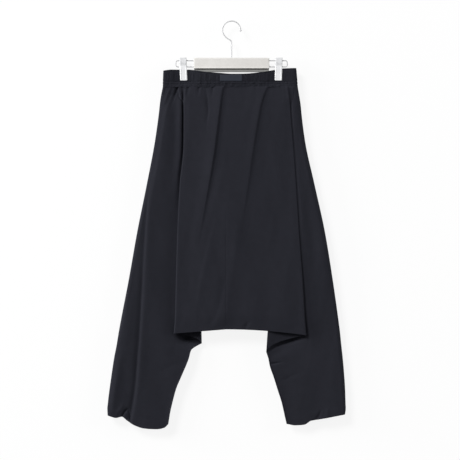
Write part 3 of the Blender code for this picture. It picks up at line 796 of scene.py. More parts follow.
HEMS = {
    Side.LEFT: Table(("share", "drop"), (
        (0, 0), (0.13, 3), (0.24, -2), (0.32, 6),
        (0.46, 16.5), (0.60, 20.5), (0.80, 18.5), (0.94, 12), (1, 1),
    )),
    Side.RIGHT: Table(("share", "drop"), (
        (0, 0), (0.45, 1.5), (0.58, 1.5), (0.70, 9), (0.86, 7), (1, 0),
    )),
}

# Columns of points on a panel, from side seam to centre seam
SIDE_ANGLES = np.radians(np.linspace(0.0, 90.0, 9))
LEG_SIDE = 26             # columns on each side of the soft crease down the leg
ROOT_ANGLES = np.radians(np.linspace(-90.0, 90.0, 13))
PLEAT_SHARES = np.linspace(0.0, 1.0, 7)[1:-1]
EDGE_ANGLES = np.radians(np.linspace(-90.0, 90.0, 13))
CREASE_SIDE = 34          # columns on each side of the soft crease across the apron
LEG_COLUMNS = len(SIDE_ANGLES) + 2 * LEG_SIDE - 1
ROOT_COLUMN = LEG_COLUMNS + len(ROOT_ANGLES) // 2
EDGE_START = LEG_COLUMNS + len(ROOT_ANGLES) + len(PLEAT_SHARES)
EDGE_COLUMN = EDGE_START + len(EDGE_ANGLES) // 2
APRON_START = EDGE_START + len(EDGE_ANGLES)
LEG_CROWDING, APRON_CROWDING = 1.35, 1.1       # how much closer columns are by the crease
BODY_ROW_COUNT = 222
LEG_ROW_COUNT = 96
# how far in from the side seam the leg's crease falls
LEG_CREASE = Table(("height", "inset"), (
    (-168, 12), (-300, 15), (-457, 17), (-594, 29), (-722, 44),
    (-834, 57), (-948, 64), (-1026, 58), (-1060, 56),
))
LEG_CREASE_LIMITS = (0.3, 0.85)    # where it may fall, as shares of the way out from the root


def turn(
    edge: Values, level: Values, near: Values, far: Values,
    near_reach: Values, far_reach: Values, angle: Values,
) -> tuple[Values, Values]:
    """A fold in plan.

    Half an ellipse round the edge, from the depth near to the depth far: out is the edge
    plus the reach times one less the cosine, and depth leaves the level by the sine.

    Args:
        edge: how far out the fold's edge is.
        level: depth of the edge.
        near: depth where the turn starts.
        far: depth where it ends.
        near_reach: sideways reach of the first half.
        far_reach: sideways reach of the second half.
        angle: angles from -90 to 90 degrees, in radians.

    Returns:
        The distance out and the depth, each (rows, angles).
    """
    out = edge + np.where(angle < 0.0, near_reach, far_reach) * (1.0 - np.cos(angle))
    depth = level - np.where(angle < 0.0, near - level, level - far) * np.sin(angle)
    return out, depth


def toward_crease(start: Values, crease: Values, end: Values, count: int, power: float) -> Values:
    """Columns from one line to another, closer together toward the crease between them.

    Args:
        start: where they start; it gets no column itself.
        crease: the crease.
        end: where they end; the last column lies there.
        count: columns on each side of the crease.
        power: 1 is even, and more is closer toward the crease.

    Returns:
        How far out each column lies.
    """
    share = np.linspace(0.0, 1.0, count + 1)[1:]
    near = 1.0 - (1.0 - share) ** power
    return np.hstack([mix(start, crease, near), mix(crease, end, share ** power)])


@dataclass
class Section:
    """Rows of plan points on one layer: out, depth, and how far each may be creased."""

    out: Values
    depth: Values
    free: Values


@dataclass(frozen=True)
class PanelForm:
    """The form of one panel before it is creased."""

    side: Side
    layer: Layer
    reveal: float = 12.0       # distance from the side seam over which creases set in
    near: float = 3.0          # the same from a line where another layer covers this one
    top_free: float = 26.0     # height under the waist seam where the pleat has no edge yet
    gather_rows: float = 0.55  # how much closer together the rows are at the body's two ends

    def body_section(self, layer: Layer, height: Values, closing: Values) -> Section:
        """Plan points of one layer of the body, from side seam to centre seam.

        Args:
            layer: front or back.
            height: heights, (rows, 1).
            closing: how far each row is sewn together at the crotch, (rows, 1).

        Returns:
            The section at each height.
        """
        table = BODY[self.side]
        side_line, edge_line, root_line, crease = (
            table.at(name, height) for name in ("side", "edge", "root", "crease")
        )
        deep = {name: DEPTHS.at(name, height) for name in DEPTHS.columns[1:]}
        if self.side is Side.RIGHT:
            for name in ("edge_back", "pleat_back", "pleat_front", "root_front"):
                column = "root" if name == "root_front" else "share"
                deep[name] = mix(deep[name], deep["edge_front"], TUCK.at(column, height))
        back = layer is Layer.BACK
        loose = ease((height - CROTCH) / SEWN_REACH)
        opened = ease((height - PLEAT_SET) / PLEAT_OPENING)
        step = mix(mix(SEWN_STEP, LAYER_STEP, loose), TOP_STEP, opened)
        side = side_line - CLOTH / 2
        edge = edge_line - CLOTH / 2 - (step if back else 0.0)
        root = root_line + CLOTH / 2 + (0.0 if back else mix(step, self.corner_step(), closing))
        seam = self.side.value * CENTRE_SEAM.at("x", height)
        overlap = edge_line - root_line - CLOTH - step
        root_level = (deep["pleat_front"] + deep["root_front"]) / 2
        edge_level = (deep["edge_back"] + deep["pleat_back"]) / 2
        if back:
            leg, at_side = deep["leg_back"], deep["leg_back"] - BACK_ROUND
            pleat, apron, centre = deep["pleat_back"], deep["edge_back"], deep["apron_back"]
            swell = HIP_BULGE[self.side] / 2
        else:
            leg, at_side = deep["root_front"], deep["leg_front"]
            pleat, apron, centre = deep["pleat_front"], deep["edge_front"], deep["apron_front"]
            swell = -HIP_BULGE[self.side]
        swell = swell * ease((WAIST_SEAM - height) / HIP_FADE)
        root_level = between(root_level, pleat, leg)
        edge_level = between(edge_level, apron, pleat)
        slant = SLANT * (1.0 - ease(np.abs(overlap) / SLANT_END))
        share, limit = INNER_TURN
        own_reach = np.maximum(share * overlap, -SHORTEST_TURN)
        root_out, root_depth = turn(
            root, root_level, leg, pleat + slant, fold_reach(leg - root_level),
            np.minimum(own_reach, limit * np.abs(root_level - pleat)), ROOT_ANGLES,
        )
        edge_out, edge_depth = turn(
            edge, edge_level, pleat - slant, apron,
            -np.minimum(own_reach, limit * np.abs(pleat - edge_level)),
            -fold_reach(edge_level - apron), EDGE_ANGLES,
        )
        shelter = np.maximum(edge_line, root_line) + PLEAT_COVER
        seam_depth = deep["side_seam"]
        leg_crease = side - LEG_CREASE.at("inset", height)
        leg_out, leg_depth = leg_run(
            side, root_out[:, :1], leg_crease, shelter, seam_depth, at_side, leg, swell
        )
        pleat_out = mix(root_out[:, -1:], edge_out[:, :1], PLEAT_SHARES)
        pleat_depth = mix(pleat + slant, pleat - slant, PLEAT_SHARES)
        bare = np.minimum(edge, root) - BACK_HOLD if back else edge_out[:, -1:]
        by_seam = seam + np.array(SEAM_COLUMNS)
        apron_out = toward_crease(edge_out[:, -1:], crease, by_seam[:, :1], CREASE_SIDE, APRON_CROWDING)
        apron_out = np.hstack([apron_out, by_seam[:, 1:]])
        apron_depth = mix(apron, centre, ease((bare - apron_out) / (bare - seam)))
        groove = SEAM_GROOVE * mix(*SEAM_SHOWS, ease((SEAM_SETS_IN - height) / SEAM_FADE))
        groove = groove * np.exp(-((apron_out - seam) / SEAM_WIDTH) ** 2)
        apron_depth = apron_depth - layer.value * groove
        out = np.hstack([leg_out, root_out, pleat_out, edge_out, apron_out])
        depth = np.hstack([leg_depth, root_depth, pleat_depth, edge_depth, apron_depth])
        return Section(out, depth, self.freedom(out, height, side, shelter, bare))

    def freedom(self, out: Values, height: Values, side: Values, shelter: Values, bare: Values) -> Values:
        """How far each point may be creased by itself.

        It is 1 where the cloth shows, 0 inside the pleat and at the side seam, and 1 all
        the way across near the waist, where the pleat has no edge yet.

        Args:
            out: how far out each point is.
            height: heights, (rows, 1).
            side: how far out the side seam is.
            shelter: how far out the pleat covers the leg.
            bare: how far out the apron is free of the pleat.

        Returns:
            The freedom, in the shape of out.
        """
        free = np.zeros_like(out)
        leg, apron = slice(0, LEG_COLUMNS), slice(APRON_START, None)
        covered = out[:, LEG_COLUMNS:LEG_COLUMNS + 1] if self.layer is Layer.BACK else shelter
        free[:, leg] = ease((out[:, leg] - covered) / self.near)
        free[:, apron] = ease((bare - out[:, apron]) / self.reveal)
        merged = ease((height - WAIST_SEAM + 2 * self.top_free) / self.top_free)
        return mix(free, 1.0, merged) * ease((side - out) / self.reveal)

    def dent(self, rows: Values) -> Values:
        """How far the pleat and the leg behind it fall back under the apron's foot.

        On the left the leg and the inseam fall back, the back panel's leg least, and the
        pleat by a part of that, easing out at its edge; on the right the front's leg does,
        and the pleat by a part, by half a sine across. Down, it sets in above the crotch
        line and dies away below it.

        Args:
            rows: points (rows, columns, 3) of the body or of the leg.

        Returns:
            The distance for each point.
        """
        body = BODY[self.side]
        root, edge = float(body.at("root", CROTCH)), float(body.at("edge", CROTCH))
        across = np.clip((rows[..., 0] - root) / (edge - root), 0.0, 1.0)
        height = rows[..., 2]
        taken = np.zeros(rows.shape[1])
        if self.layer is Layer.FRONT:
            taken[:LEG_COLUMNS] = 1.0
        inner = min(rows.shape[1], EDGE_START)
        if self.side is Side.RIGHT:
            pleat_share, bow, foot = 0.4, 0.9, 70.0
            slow_top, slow_fade, quick_top, quick_fade = 46.0, 42.0, 16.0, 11.0
            taken[LEG_COLUMNS:inner] = pleat_share
            line = self.crotch_line()
            fall = mix(line["root"], line["edge"], across ** line["rise"]) - height
            slow, quick = ease((slow_top - fall) / slow_fade), ease((quick_top - fall) / quick_fade)
            down = ease((fall + foot) / foot) * (0.5 * slow + 0.5 * quick)
            return DENTS[self.side] * np.sin(math.pi * across ** bow) * down * taken
        pleat_share, back_share, top, top_fade = 0.55, 0.35, 34.0, 32.0
        root_foot, edge_foot, foot_fade, edge_fade, last_angle = 66.0, 30.0, 0.72, 0.4, 60.0
        half = ease(np.clip(1.0 - np.abs(ROOT_ANGLES) / (math.pi / 2), 0.0, 1.0))
        if self.layer is Layer.BACK:
            taken[:LEG_COLUMNS] = back_share
        taken[LEG_COLUMNS:ROOT_COLUMN + 1] = mix(taken[0], 1.0, half[:ROOT_COLUMN - LEG_COLUMNS + 1])
        if rows.shape[1] > APRON_START:
            last_turn = LEG_COLUMNS + len(ROOT_ANGLES)
            taken[ROOT_COLUMN:last_turn] = mix(pleat_share, 1.0, half[ROOT_COLUMN - LEG_COLUMNS:])
            taken[last_turn:inner] = pleat_share
            turned = (math.radians(last_angle) - EDGE_ANGLES) / math.radians(2.0 * last_angle)
            taken[EDGE_START:APRON_START] = pleat_share * ease(turned)
        reach = mix(root_foot, edge_foot, across)
        down = ease((height - CROTCH + reach) / (foot_fade * reach))
        down = ease((CROTCH + top - height) / top_fade) * down
        return DENTS[self.side] * ease((1.0 - across) / edge_fade) * down * taken

    def corner_step(self) -> float:
        """Finds how far inside the back's crotch corner the front's lies.

        Their walls touch when it is the step over the sine of half the sum of the crotch
        line's and the inseam's angles.

        Returns:
            The distance.
        """
        last = BODY[self.side]
        line = self.crotch_line()
        leg = LEGS[self.side].rows[1]
        run = float(last.at("edge", CROTCH) - last.at("root", CROTCH))
        crotch = math.atan2(line["edge"] - line["root"], run)
        inseam = math.atan2(line["root"] - leg[4], leg[3] - float(last.at("root", CROTCH)))
        return SEWN_STEP / math.sin((crotch + inseam) / 2)

    def crotch_line(self) -> dict[str, float]:
        """This half's row of the crotch lines."""
        row = CROTCH_LINES.rows[0 if self.side is Side.LEFT else 1]
        return dict(zip(CROTCH_LINES.columns, row))

    def sewn(self, height: Values, share: Values) -> Section:
        """This layer's section, drawn together with the other layer toward the crotch line.

        Both layers move toward their middle until they lie one wall apart, all the way
        along the crotch line except round the two corners, which stay open.

        Args:
            height: heights, (rows, 1).
            share: share of the way from the waist seam to the crotch line, (rows, 1).

        Returns:
            The section at each height.
        """
        closing = np.clip((share - CLOSING_START) / (1.0 - CLOSING_START), 0.0, 1.0) ** 2
        front = self.body_section(Layer.FRONT, height, closing)
        back = self.body_section(Layer.BACK, height, closing)
        columns = front.out.shape[1]
        pull = np.zeros(columns)
        pull[ROOT_COLUMN:] = 1.0
        half = len(ROOT_ANGLES) // 2
        pull[ROOT_COLUMN:ROOT_COLUMN + half + 1] = ease(ROOT_ANGLES[half:] / math.radians(45.0))
        apart = np.full(columns, SEWN_STEP)
        open_edge = np.cos(EDGE_ANGLES) ** 2
        apart[EDGE_START:APRON_START] = mix(SEWN_STEP, LAYER_STEP, open_edge)
        way = np.stack([back.out - front.out, back.depth - front.depth])
        way /= np.maximum(np.hypot(*way), 1e-9)
        middle_out = (front.out + back.out) / 2
        middle_depth = (front.depth + back.depth) / 2
        own = front if self.layer is Layer.FRONT else back
        share_here = pull * closing
        own.out = mix(own.out, middle_out + self.layer.value * way[0] * apart / 2, share_here)
        own.depth = mix(own.depth, middle_depth + self.layer.value * way[1] * apart / 2, share_here)
        return own

    def floor(self, last: Values) -> Values:
        """Height of the body's lowest row.

        It falls down the leg by the cube of the way to the root, rises to the pleat's edge
        by a power, and bows along the apron to the centre.

        Args:
            last: how far out the row's points are.

        Returns:
            The height of each.
        """
        line = self.crotch_line()
        leg, pleat = slice(0, ROOT_COLUMN), slice(ROOT_COLUMN, EDGE_COLUMN)
        apron = slice(EDGE_COLUMN, None)
        height = np.empty_like(last)
        to_root = (last[0] - last[leg]) / (last[0] - last[ROOT_COLUMN])
        height[leg] = mix(CROTCH, line["root"], to_root ** 3)
        along = np.abs(last[pleat] - last[ROOT_COLUMN]) / (last[EDGE_COLUMN] - last[ROOT_COLUMN])
        height[pleat] = mix(line["root"], line["edge"], np.clip(along, 0.0, 1.0) ** line["rise"])
        from_seam = (last[apron] - last[-1]) / (last[EDGE_COLUMN] - last[-1])
        height[apron] = mix(line["centre"], line["edge"], np.clip(from_seam, 0.0, 1.0) ** line["bow"])
        return height

    def leg_rows(self, step: Values, last: Values) -> tuple[Values, Values]:
        """Points of the leg below the crotch line.

        Args:
            step: place down the leg, 0 at the crotch line and 7 at the hem, (rows, 1).
            last: points of the body's lowest row, (columns, 3).

        Returns:
            The points (rows, columns, 3), and how far each may be creased.
        """
        table = LEGS[self.side]
        back = self.layer is Layer.BACK
        share = step / LAST_STEP
        deep = {
            name: mix(float(DEPTHS.at(name, CROTCH)), value, share) for name, value in HEM_DEPTHS.items()
        }
        start = float(DEPTHS.at("pleat_front", CROTCH) + DEPTHS.at("root_front", CROTCH)) / 2
        level = mix(start, deep["root_front"] - INSEAM_LEAD, share)
        side = table.at("side", step) - CLOTH / 2
        down = 0.25               # part of a step over which the inseam's slope is taken
        run = table.at("inner", step + down) - table.at("inner", step - down)
        fall = table.at("inner_height", step - down) - table.at("inner_height", step + down)
        lip = SEWN_STEP * np.hypot(run, fall) / fall
        root = table.at("inner", step) + CLOTH / 2 + (0.0 if back else lip)
        leg = deep["leg_back"] if back else deep["root_front"]
        at_side = deep["leg_back"] - BACK_ROUND if back else deep["leg_front"]
        angle = ROOT_ANGLES[:len(ROOT_ANGLES) // 2 + 1]
        inner_out, inner_depth = turn(root, level, leg, level, fold_reach(leg - level), 0.0, angle)
        last_edge = float(BODY[self.side].at("edge", CROTCH))
        shelter = mix(last_edge, inner_out[:, :1], ease(share * SHELTER_FADE))
        swell = np.full_like(share, HIP_BULGE[self.side] * (0.5 if back else -1.0))
        seam_depth = deep["side_seam"]
        leg_crease = side - LEG_CREASE.at("inset", table.at("side_height", step))
        leg_out, leg_depth = leg_run(
            side, inner_out[:, :1], leg_crease, shelter, seam_depth, at_side, leg, swell
        )
        out, depth = np.hstack([leg_out, inner_out]), np.hstack([leg_depth, inner_depth])
        across = (out[:, :1] - out) / (out[:, :1] - out[:, -1:])
        drop = HEMS[self.side].at("drop", across) * share ** 3
        height = mix(table.at("side_height", step), table.at("inner_height", step), across) - drop
        free = ease((side - out) / self.reveal) * ease((out - out[:, -1:]) / self.reveal)
        below = ease(share * SHELTER_FADE)
        if self.layer is Layer.FRONT:
            free = mix(free * ease((out - last_edge) / self.reveal), free, below)
        grown = ease(step)[:, :, None]
        return mix(last[None], np.dstack([out, depth, height]), grown), free

    def sheet(self) -> tuple[Surface, Values]:
        """The whole panel as one sheet.

        The body's rows share out the height from the waist seam to the crotch line; the
        leg's rows go on from the first columns of the last one.

        Returns:
            The sheet, and for each point how far it may be creased.
        """
        even = np.linspace(0.0, 1.0, BODY_ROW_COUNT)[:, None]
        share = even - self.gather_rows * np.sin(2.0 * math.pi * even) / (2.0 * math.pi)
        plan = self.sewn(mix(WAIST_SEAM, CROTCH, share), share)
        floor = self.floor(plan.out[-1])
        height = mix(WAIST_SEAM, floor[None, :], share)
        body = np.dstack([plan.out, plan.depth, height])
        columns, leg_columns = body.shape[1], ROOT_COLUMN + 1
        places = np.linspace(0.0, LAST_STEP, 200)
        fall = -LEGS[self.side].at("side_height", places)
        even = np.linspace(fall[0], fall[-1], LEG_ROW_COUNT + 1)[1:]
        step = np.interp(even, fall, places)[:, None]
        legs, leg_free = self.leg_rows(step, body[-1, :leg_columns])
        body[..., 1] += self.dent(body)
        legs[..., 1] += self.dent(legs)
        near_floor = ease((height - floor[None, :]) / (2.0 * self.reveal))
        on_apron = np.arange(columns)[None, :] >= ROOT_COLUMN
        body_free = plan.free * np.where(on_apron, near_floor, 1.0)
        points = np.vstack([body.reshape(-1, 3), legs.reshape(-1, 3)])
        free = np.concatenate([body_free.reshape(-1), leg_free.reshape(-1)])
        count = body.shape[0] * columns
        top = count - columns + np.arange(leg_columns - 1)
        below = count + np.arange(leg_columns - 1)
        faces = np.vstack([
            grid_faces(body.shape[0], columns),
            np.column_stack([top, top + 1, below + 1, below]),
            grid_faces(LEG_ROW_COUNT, leg_columns, count),
        ])
        across = np.concatenate([run_along(body).reshape(-1), run_along(legs).reshape(-1)])
        points[:, 0] *= self.side.value
        return Surface(points, faces, np.column_stack([across, points[:, 2]])), free


def run_along(rows: Values) -> Values:
    """Distance along each row of points, (rows, columns), from its first point."""
    steps = np.linalg.norm(np.diff(rows, axis=1), axis=2)
    return np.hstack([np.zeros((len(rows), 1)), np.cumsum(steps, axis=1)])


def fold_reach(depth: Values) -> Values:
    """Sideways reach of a fold: a share of its depth, and never less than the tightest."""
    return np.maximum(SHORTEST_TURN, TURN_SHARE * np.abs(depth))


def leg_run(
    side: Values, root: Values, crease: Values, shelter: Values,
    seam_depth: Values, at_side: Values, at_root: Values, swell: Values,
) -> tuple[Values, Values]:
    """Side seam to pleat root.

    A quarter ellipse round from the seam, then the leg, which swells by half a sine and is
    flat where the pleat covers it.

    Args:
        side: how far out the side seam is.
        root: how far out the turn at the pleat's root starts.
        crease: how far out the leg's soft crease falls.
        shelter: how far out the pleat covers.
        seam_depth: depth of the side seam.
        at_side: depth where the rounded side ends.
        at_root: depth under the pleat.
        swell: how far the leg swells between.

    Returns:
        The distance out and the depth, each (rows, columns).
    """
    reach = np.minimum(np.minimum(SIDE_ROUND, np.abs(at_side - seam_depth)), (side - root) / 2)
    round_out = side - reach * (1.0 - np.cos(SIDE_ANGLES))
    round_depth = mix(seam_depth, at_side, np.sin(SIDE_ANGLES))
    start = side - reach
    crease = np.clip(crease, *(mix(root, start, share) for share in LEG_CREASE_LIMITS))
    out = toward_crease(start, crease, root, LEG_SIDE, LEG_CROWDING)[:, :-1]
    cover = np.clip((side - reach - out) / np.maximum(side - reach - shelter, 1.0), 0.0, 1.0)
    depth = mix(at_side, at_root, ease(cover)) + swell * np.sin(math.pi * cover)
    return np.hstack([round_out, out]), np.hstack([round_depth, depth])


# ---- creases


@dataclass(frozen=True)
class Crease:
    """A soft ridge along a line, with an uneven flank on each side and a hollow beyond one.

    The line has columns x, height and rise: rise is how far the cloth stands out there, and
    below 0 it is a trough. Across the line the rise fades as a bell on each side, and past
    the right flank the hollow swells and fades.
    """

    line: tuple[Triple, ...]
    left: float                # width of the flank on the left, looking at it with its top up
    right: float
    hollow: float = 0.0        # depth of the hollow past the right flank, for a rise of 1
    hollow_width: float = 1.7  # where it is deepest, in widths of that flank
    steps: int = 48

    def relief(self, x: Values, z: Values) -> Values:
        """How far the crease moves each point.

        Args:
            x: places along X.
            z: heights.

        Returns:
            The relief, in the shape of x.
        """
        table = np.array(self.line, float)
        run = np.concatenate([[0.0], np.cumsum(np.hypot(*np.diff(table[:, :2], axis=0).T))])
        at = np.linspace(0.0, run[-1], self.steps)
        columns = ("run", "x", "z", "rise")
        curve = Table(columns, tuple(map(tuple, np.column_stack([run, table]))))
        line_x, line_z, rise = (curve.at(name, at) for name in columns[1:])
        reach = 4.0 * max(self.left, self.right)
        near = (x > line_x.min() - reach) & (x < line_x.max() + reach)
        near &= (z > line_z.min() - reach) & (z < line_z.max() + reach)
        moved = np.zeros_like(x)
        if not near.any():
            return moved
        px, pz = x[near], z[near]
        best = np.full(px.shape, np.inf)
        offset, strength = np.zeros_like(px), np.zeros_like(px)
        for i in range(self.steps - 1):
            dx, dz = line_x[i + 1] - line_x[i], line_z[i + 1] - line_z[i]
            length = math.hypot(dx, dz)
            share = np.clip(((px - line_x[i]) * dx + (pz - line_z[i]) * dz) / length ** 2, 0.0, 1.0)
            away_x, away_z = px - line_x[i] - share * dx, pz - line_z[i] - share * dz
            distance = np.hypot(away_x, away_z)
            closer = distance < best
            side = np.sign(away_z * dx - away_x * dz)
            best = np.where(closer, distance, best)
            offset = np.where(closer, side * distance, offset)
            strength = np.where(closer, mix(rise[i], rise[i + 1], share), strength)
        width = np.where(offset < 0.0, self.left, self.right)
        bell = np.exp(-(offset / width) ** 2)
        past = np.maximum(offset, 0.0) / (self.hollow_width * self.right)
        moved[near] = strength * (bell - self.hollow * past * np.exp(1.0 - past) * (past > 0.0))
        return moved


def creases(*rows: tuple) -> tuple[Crease, ...]:
    """Creases from rows that give the left width, the right width, and then the line."""
    return tuple(Crease(row[2:], row[0], row[1]) for row in rows)


@dataclass(frozen=True)
class Undulation:
    """Slow waves all over the cloth: a seeded sum of sines, longer down the cloth than across."""

    seed: int
    height: float
    across: Pair
    down: Pair
    count: int = 12

    def relief(self, x: Values, z: Values) -> Values:
        """Sums the sines, each with a length across, one down and a phase that the seed draws.

        Args:
            x: places along X.
            z: heights.

        Returns:
            The relief at each point, of the given height on average.
        """
        draw = np.random.default_rng(self.seed)
        total = np.zeros_like(x)
        for _ in range(self.count):
            wide = draw.uniform(*self.across) * draw.choice((-1.0, 1.0))
            tall = draw.uniform(*self.down)
            phase = draw.uniform(0.0, 2.0 * math.pi)
            total += np.sin(2.0 * math.pi * (x / wide + z / tall) + phase)
        return total * self.height / math.sqrt(self.count / 2)


@dataclass(frozen=True)
class Gathers:
    """Small uneven pleats that the elastic draws up, fading down the cloth below it."""

    seed: int
    spacing: float = 8.5
    half_width: float = 172.0
    widening: float = 45.0     # height below the seam over which each grows by its own width
    # the least and greatest of each, with the steps from one to the next in spacings
    steps: Pair = (0.45, 1.65)
    widths: Pair = (1.6, 3.6)
    heights: Pair = (-0.2, 0.6)
    slants: Pair = (-0.12, 0.12)
    lengths: Pair = (7.0, 34.0)

    def relief(self, x: Values, below: Values) -> Values:
        """How far the gathers stand out.

        Each is a bell across, at a place, width, height, slant and length that the seed
        draws, and fades down the cloth by its own length.

        Args:
            x: places along X.
            below: distance below the waist seam, 0 on the band.

        Returns:
            The relief, in the shape of x.
        """
        draw = np.random.default_rng(self.seed)
        total = np.zeros_like(x)
        centre = -self.half_width
        while centre < self.half_width:
            centre += self.spacing * draw.uniform(*self.steps)
            width, height = draw.uniform(*self.widths), draw.uniform(*self.heights)
            slant, length = draw.uniform(*self.slants), draw.uniform(*self.lengths)
            spread = width * (1.0 + below / self.widening)
            place = (x - centre - slant * below) / spread
            total += height * np.exp(-place ** 2 - below / length)
        return total


FRONT_CREASES = (
    # the long soft fold from beside the label, down and to the left
    Crease((
        (-21, -166, 2.4), (-24.5, -180, 3.5), (-33.8, -248.6, 4.3), (-44.2, -331.8, 4.3),
        (-57, -412.4, 3.2), (-72, -495.6, 1.4), (-86, -575, 0),
    ), 17.0, 3.4, hollow=0.6),
    # the long soft fold from right of the label, down and to the left
    Crease((
        (93, -168, 2), (79.3, -202.8, 2.9), (74, -226, 3), (59, -313.6, 2.8),
        (44.5, -412.4, 1.6), (31.5, -495.6, 0.6), (23, -548, 0),
    ), 13.0, 3.2, hollow=0.55),
) + creases(
    # a fainter short one between the left clip and the label
    (5, 2, (-67, -170, -0.6), (-64, -190, -2), (-61.5, -212, -3), (-60.5, -232, -2.8),
     (-63, -262, -1), (-64, -300, 0)),
    # three faint ones by the seam, left of the label
    (3.4, 2.6, (-111.5, -166, -3.6), (-114, -178, -3), (-116, -200, 0)),
    (3.2, 2.6, (-83.5, -166, -3.2), (-85.5, -178, -2.6), (-87, -196, 0)),
    (3.2, 2.6, (-47, -166, -3.2), (-49, -178, -2.6), (-49.5, -196, 0)),
    # the V of two small folds below the left clip, and the cloth that stands up between them
    (4.4, 2.2, (-137, -166, -3.2), (-140.8, -176, -3.8), (-147, -192, -3.2), (-153.5, -210, -1.4),
     (-159, -230, 0)),
    (11, 3.6, (-133.5, -174, 0.8), (-132.5, -190, 2.6), (-131.5, -215, 6), (-131.5, -260, 7.4),
     (-132, -320, 6.8), (-137, -390, 3.6), (-143, -470, 0.8), (-147, -540, 0)),
    (2.8, 2.6, (-130, -164, -0.8), (-126.5, -182, -1.8), (-124.8, -200, -3.6), (-124, -216, 0)),
    # puckers round the left hip
    (3.4, 4.6, (-158, -168, 1), (-166, -190, 2), (-176, -214, 1.2), (-183, -236, 0)),
    (4, 5.5, (-148.5, -174, 0.3), (-157, -200, 1), (-167, -228, 0.8), (-176, -262, 0)),
    (2.6, 3, (-170, -166, -1.2), (-175, -184, -1.8), (-183, -206, 0)),
    # the right leg beside the pleat, which fills the step behind the apron's edge
    (5, 20, (158.5, -172, 1.2), (159, -190, 2.2), (159, -204, 1.8), (160.5, -226, 1.6),
     (166.5, -314, 1.6), (174, -423, 1.6), (181, -500, 1.4), (188, -610, 1.2), (194, -720, 0)),
    # right hip
    (4.4, 2.4, (144.5, -164, 1.6), (147.5, -190, 1.2), (150.5, -215, 0.5), (152, -236, 0)),
    (3.6, 4, (166, -168, 0.9), (170.5, -200, 1.2), (176, -240, 0.6), (182, -290, 0)),
    # lower apron: soft ridges that run down to the left on each side of the seam
    (9, 12, (22, -505, 0), (13, -560, 0.8), (4, -650, 1.2), (-12, -745, 1), (-22, -795, 0.4)),
    (11, 6, (-14, -640, 0), (-22, -690, -1), (-34, -745, -1.5), (-54, -790, -0.6)),
    (7, 14, (-36, -500, 0), (-58, -590, 1.4), (-80, -690, 1.5), (-92, -760, 0.4)),
    (16, 12, (-95, -470, 0), (-104, -560, -1), (-112, -680, -0.8), (-118, -770, 0)),
    (18, 16, (120, -300, 0), (128, -420, 1), (136, -560, 0.9), (150, -720, 0)),
    (20, 16, (88, -440, 0), (84, -560, -0.9), (90, -700, -0.7), (96, -780, 0)),
    # left leg: a step all the way down, low toward the side seam and sharp at its foot
    (3.8, 14, (-206, -400, 0.4), (-213, -457, 1.6), (-217, -530, 1.7), (-220, -600, 1.4),
     (-227, -722, 1.2), (-235, -834, 1.1), (-239.8, -915, 1), (-246, -960, 0.9), (-252.5, -1010, 0.9),
     (-257, -1040, 0.6)),
    (8, 3.8, (-213, -400, 0), (-220, -480, -1.2), (-226, -560, -2), (-234, -722, -2.8),
     (-241, -834, -3.4), (-245.5, -893, -3.5), (-249, -948, -3.5), (-257, -1000, -3.5),
     (-265, -1040, -2.6)),
    (22, 6, (-222, -480, 0), (-229, -560, -0.8), (-238, -722, -1.6), (-246, -834, -2),
     (-254, -948, -2.2), (-268, -1030, -1.6)),
    # the roll along the outline of the left leg's foot, and of the left body
    (6, 12, (-283, -836, 0), (-291, -875, 1.8), (-297, -914, 2.8), (-303, -953, 3.2),
     (-307.5, -990, 3), (-308.5, -1016, 1.6)),
    (9, 44, (-163, -190, 0), (-165.5, -212, 2.8), (-168.5, -236, 5.2), (-179, -308, 6),
     (-187, -360, 5.2), (-199, -420, 3.8), (-208, -470, 2.2), (-214, -530, 0)),
    # the gentler roll along the outline of the right body
    (17, 9, (161, -178, 0), (167.5, -204, 1.4), (174.5, -244, 2.4), (185, -314, 2.8),
     (207, -423, 2.4), (234, -548, 1.2), (253, -650, 0)),
    # right leg: broad soft ridges
    (12, 10, (186, -300, 0), (206, -430, 1.3), (228, -560, 1.5), (248, -700, 1.2), (262, -830, 0)),
    (14, 10, (190, -430, 0), (205, -560, -1), (222, -720, -1), (236, -860, 0)),
    # right leg, fanning out from the crotch
    (6, 8, (106, -874, 0.8), (124, -866, 1.8), (156, -850, 1.4), (200, -828, 0)),
    (6, 5, (124, -884, 0), (142, -872, -1.4), (164, -858, -1.4), (184, -848, 0)),
    (8, 7, (108, -905, 0.9), (134, -912, 1.3), (160, -926, 0.8), (190, -948, 0)),
    (6, 4, (124, -936, -0.3), (141, -929, -1.3), (158, -920, -1.3), (180, -910, 0)),
    # left leg, fanning out from the crotch
    (7, 9, (-118, -868, 0.9), (-138, -858, 1.2), (-170, -846, 0.7), (-204, -838, 0)),
    (8, 8, (-124, -888, -0.9), (-148, -892, -1), (-180, -906, -0.5), (-210, -930, 0)),
)

# creases that go through every layer of cloth at once
SHARED_CREASES = creases(
    # the short deep one by the right crotch
    (2.2, 3, (98, -890, -1.8), (110, -889, -2.8), (120, -887.5, -2.2), (131, -886, 0)),
    # puckers at the hems
    (2.4, 2.8, (-267, -1004, 0), (-272, -1008, -3.4), (-279, -1015, -5.4), (-285, -1026, -4.4)),
    (1.8, 2.4, (-268, -1006, 0), (-267.5, -1014, -2.2), (-265, -1024, -2.4), (-262, -1036, -1.4)),
    (5, 4, (-281, -990, 0), (-286, -1004, 1.4), (-294, -1014, 1.2), (-300, -1024, 0.6)),
    (3, 4, (234, -1008, 0), (229, -1018, -2.4), (224, -1028, -3.6), (216, -1036, -2)),
    (6, 5, (250, -1000, 0), (249, -1018, 1.4), (246, -1030, 1.6)),
    # the tiny crease at the foot of the apron
    (2.6, 2.8, (46, -776, 0), (40, -786, -2.8), (35, -796, -3.8), (33, -806, -2)),
)

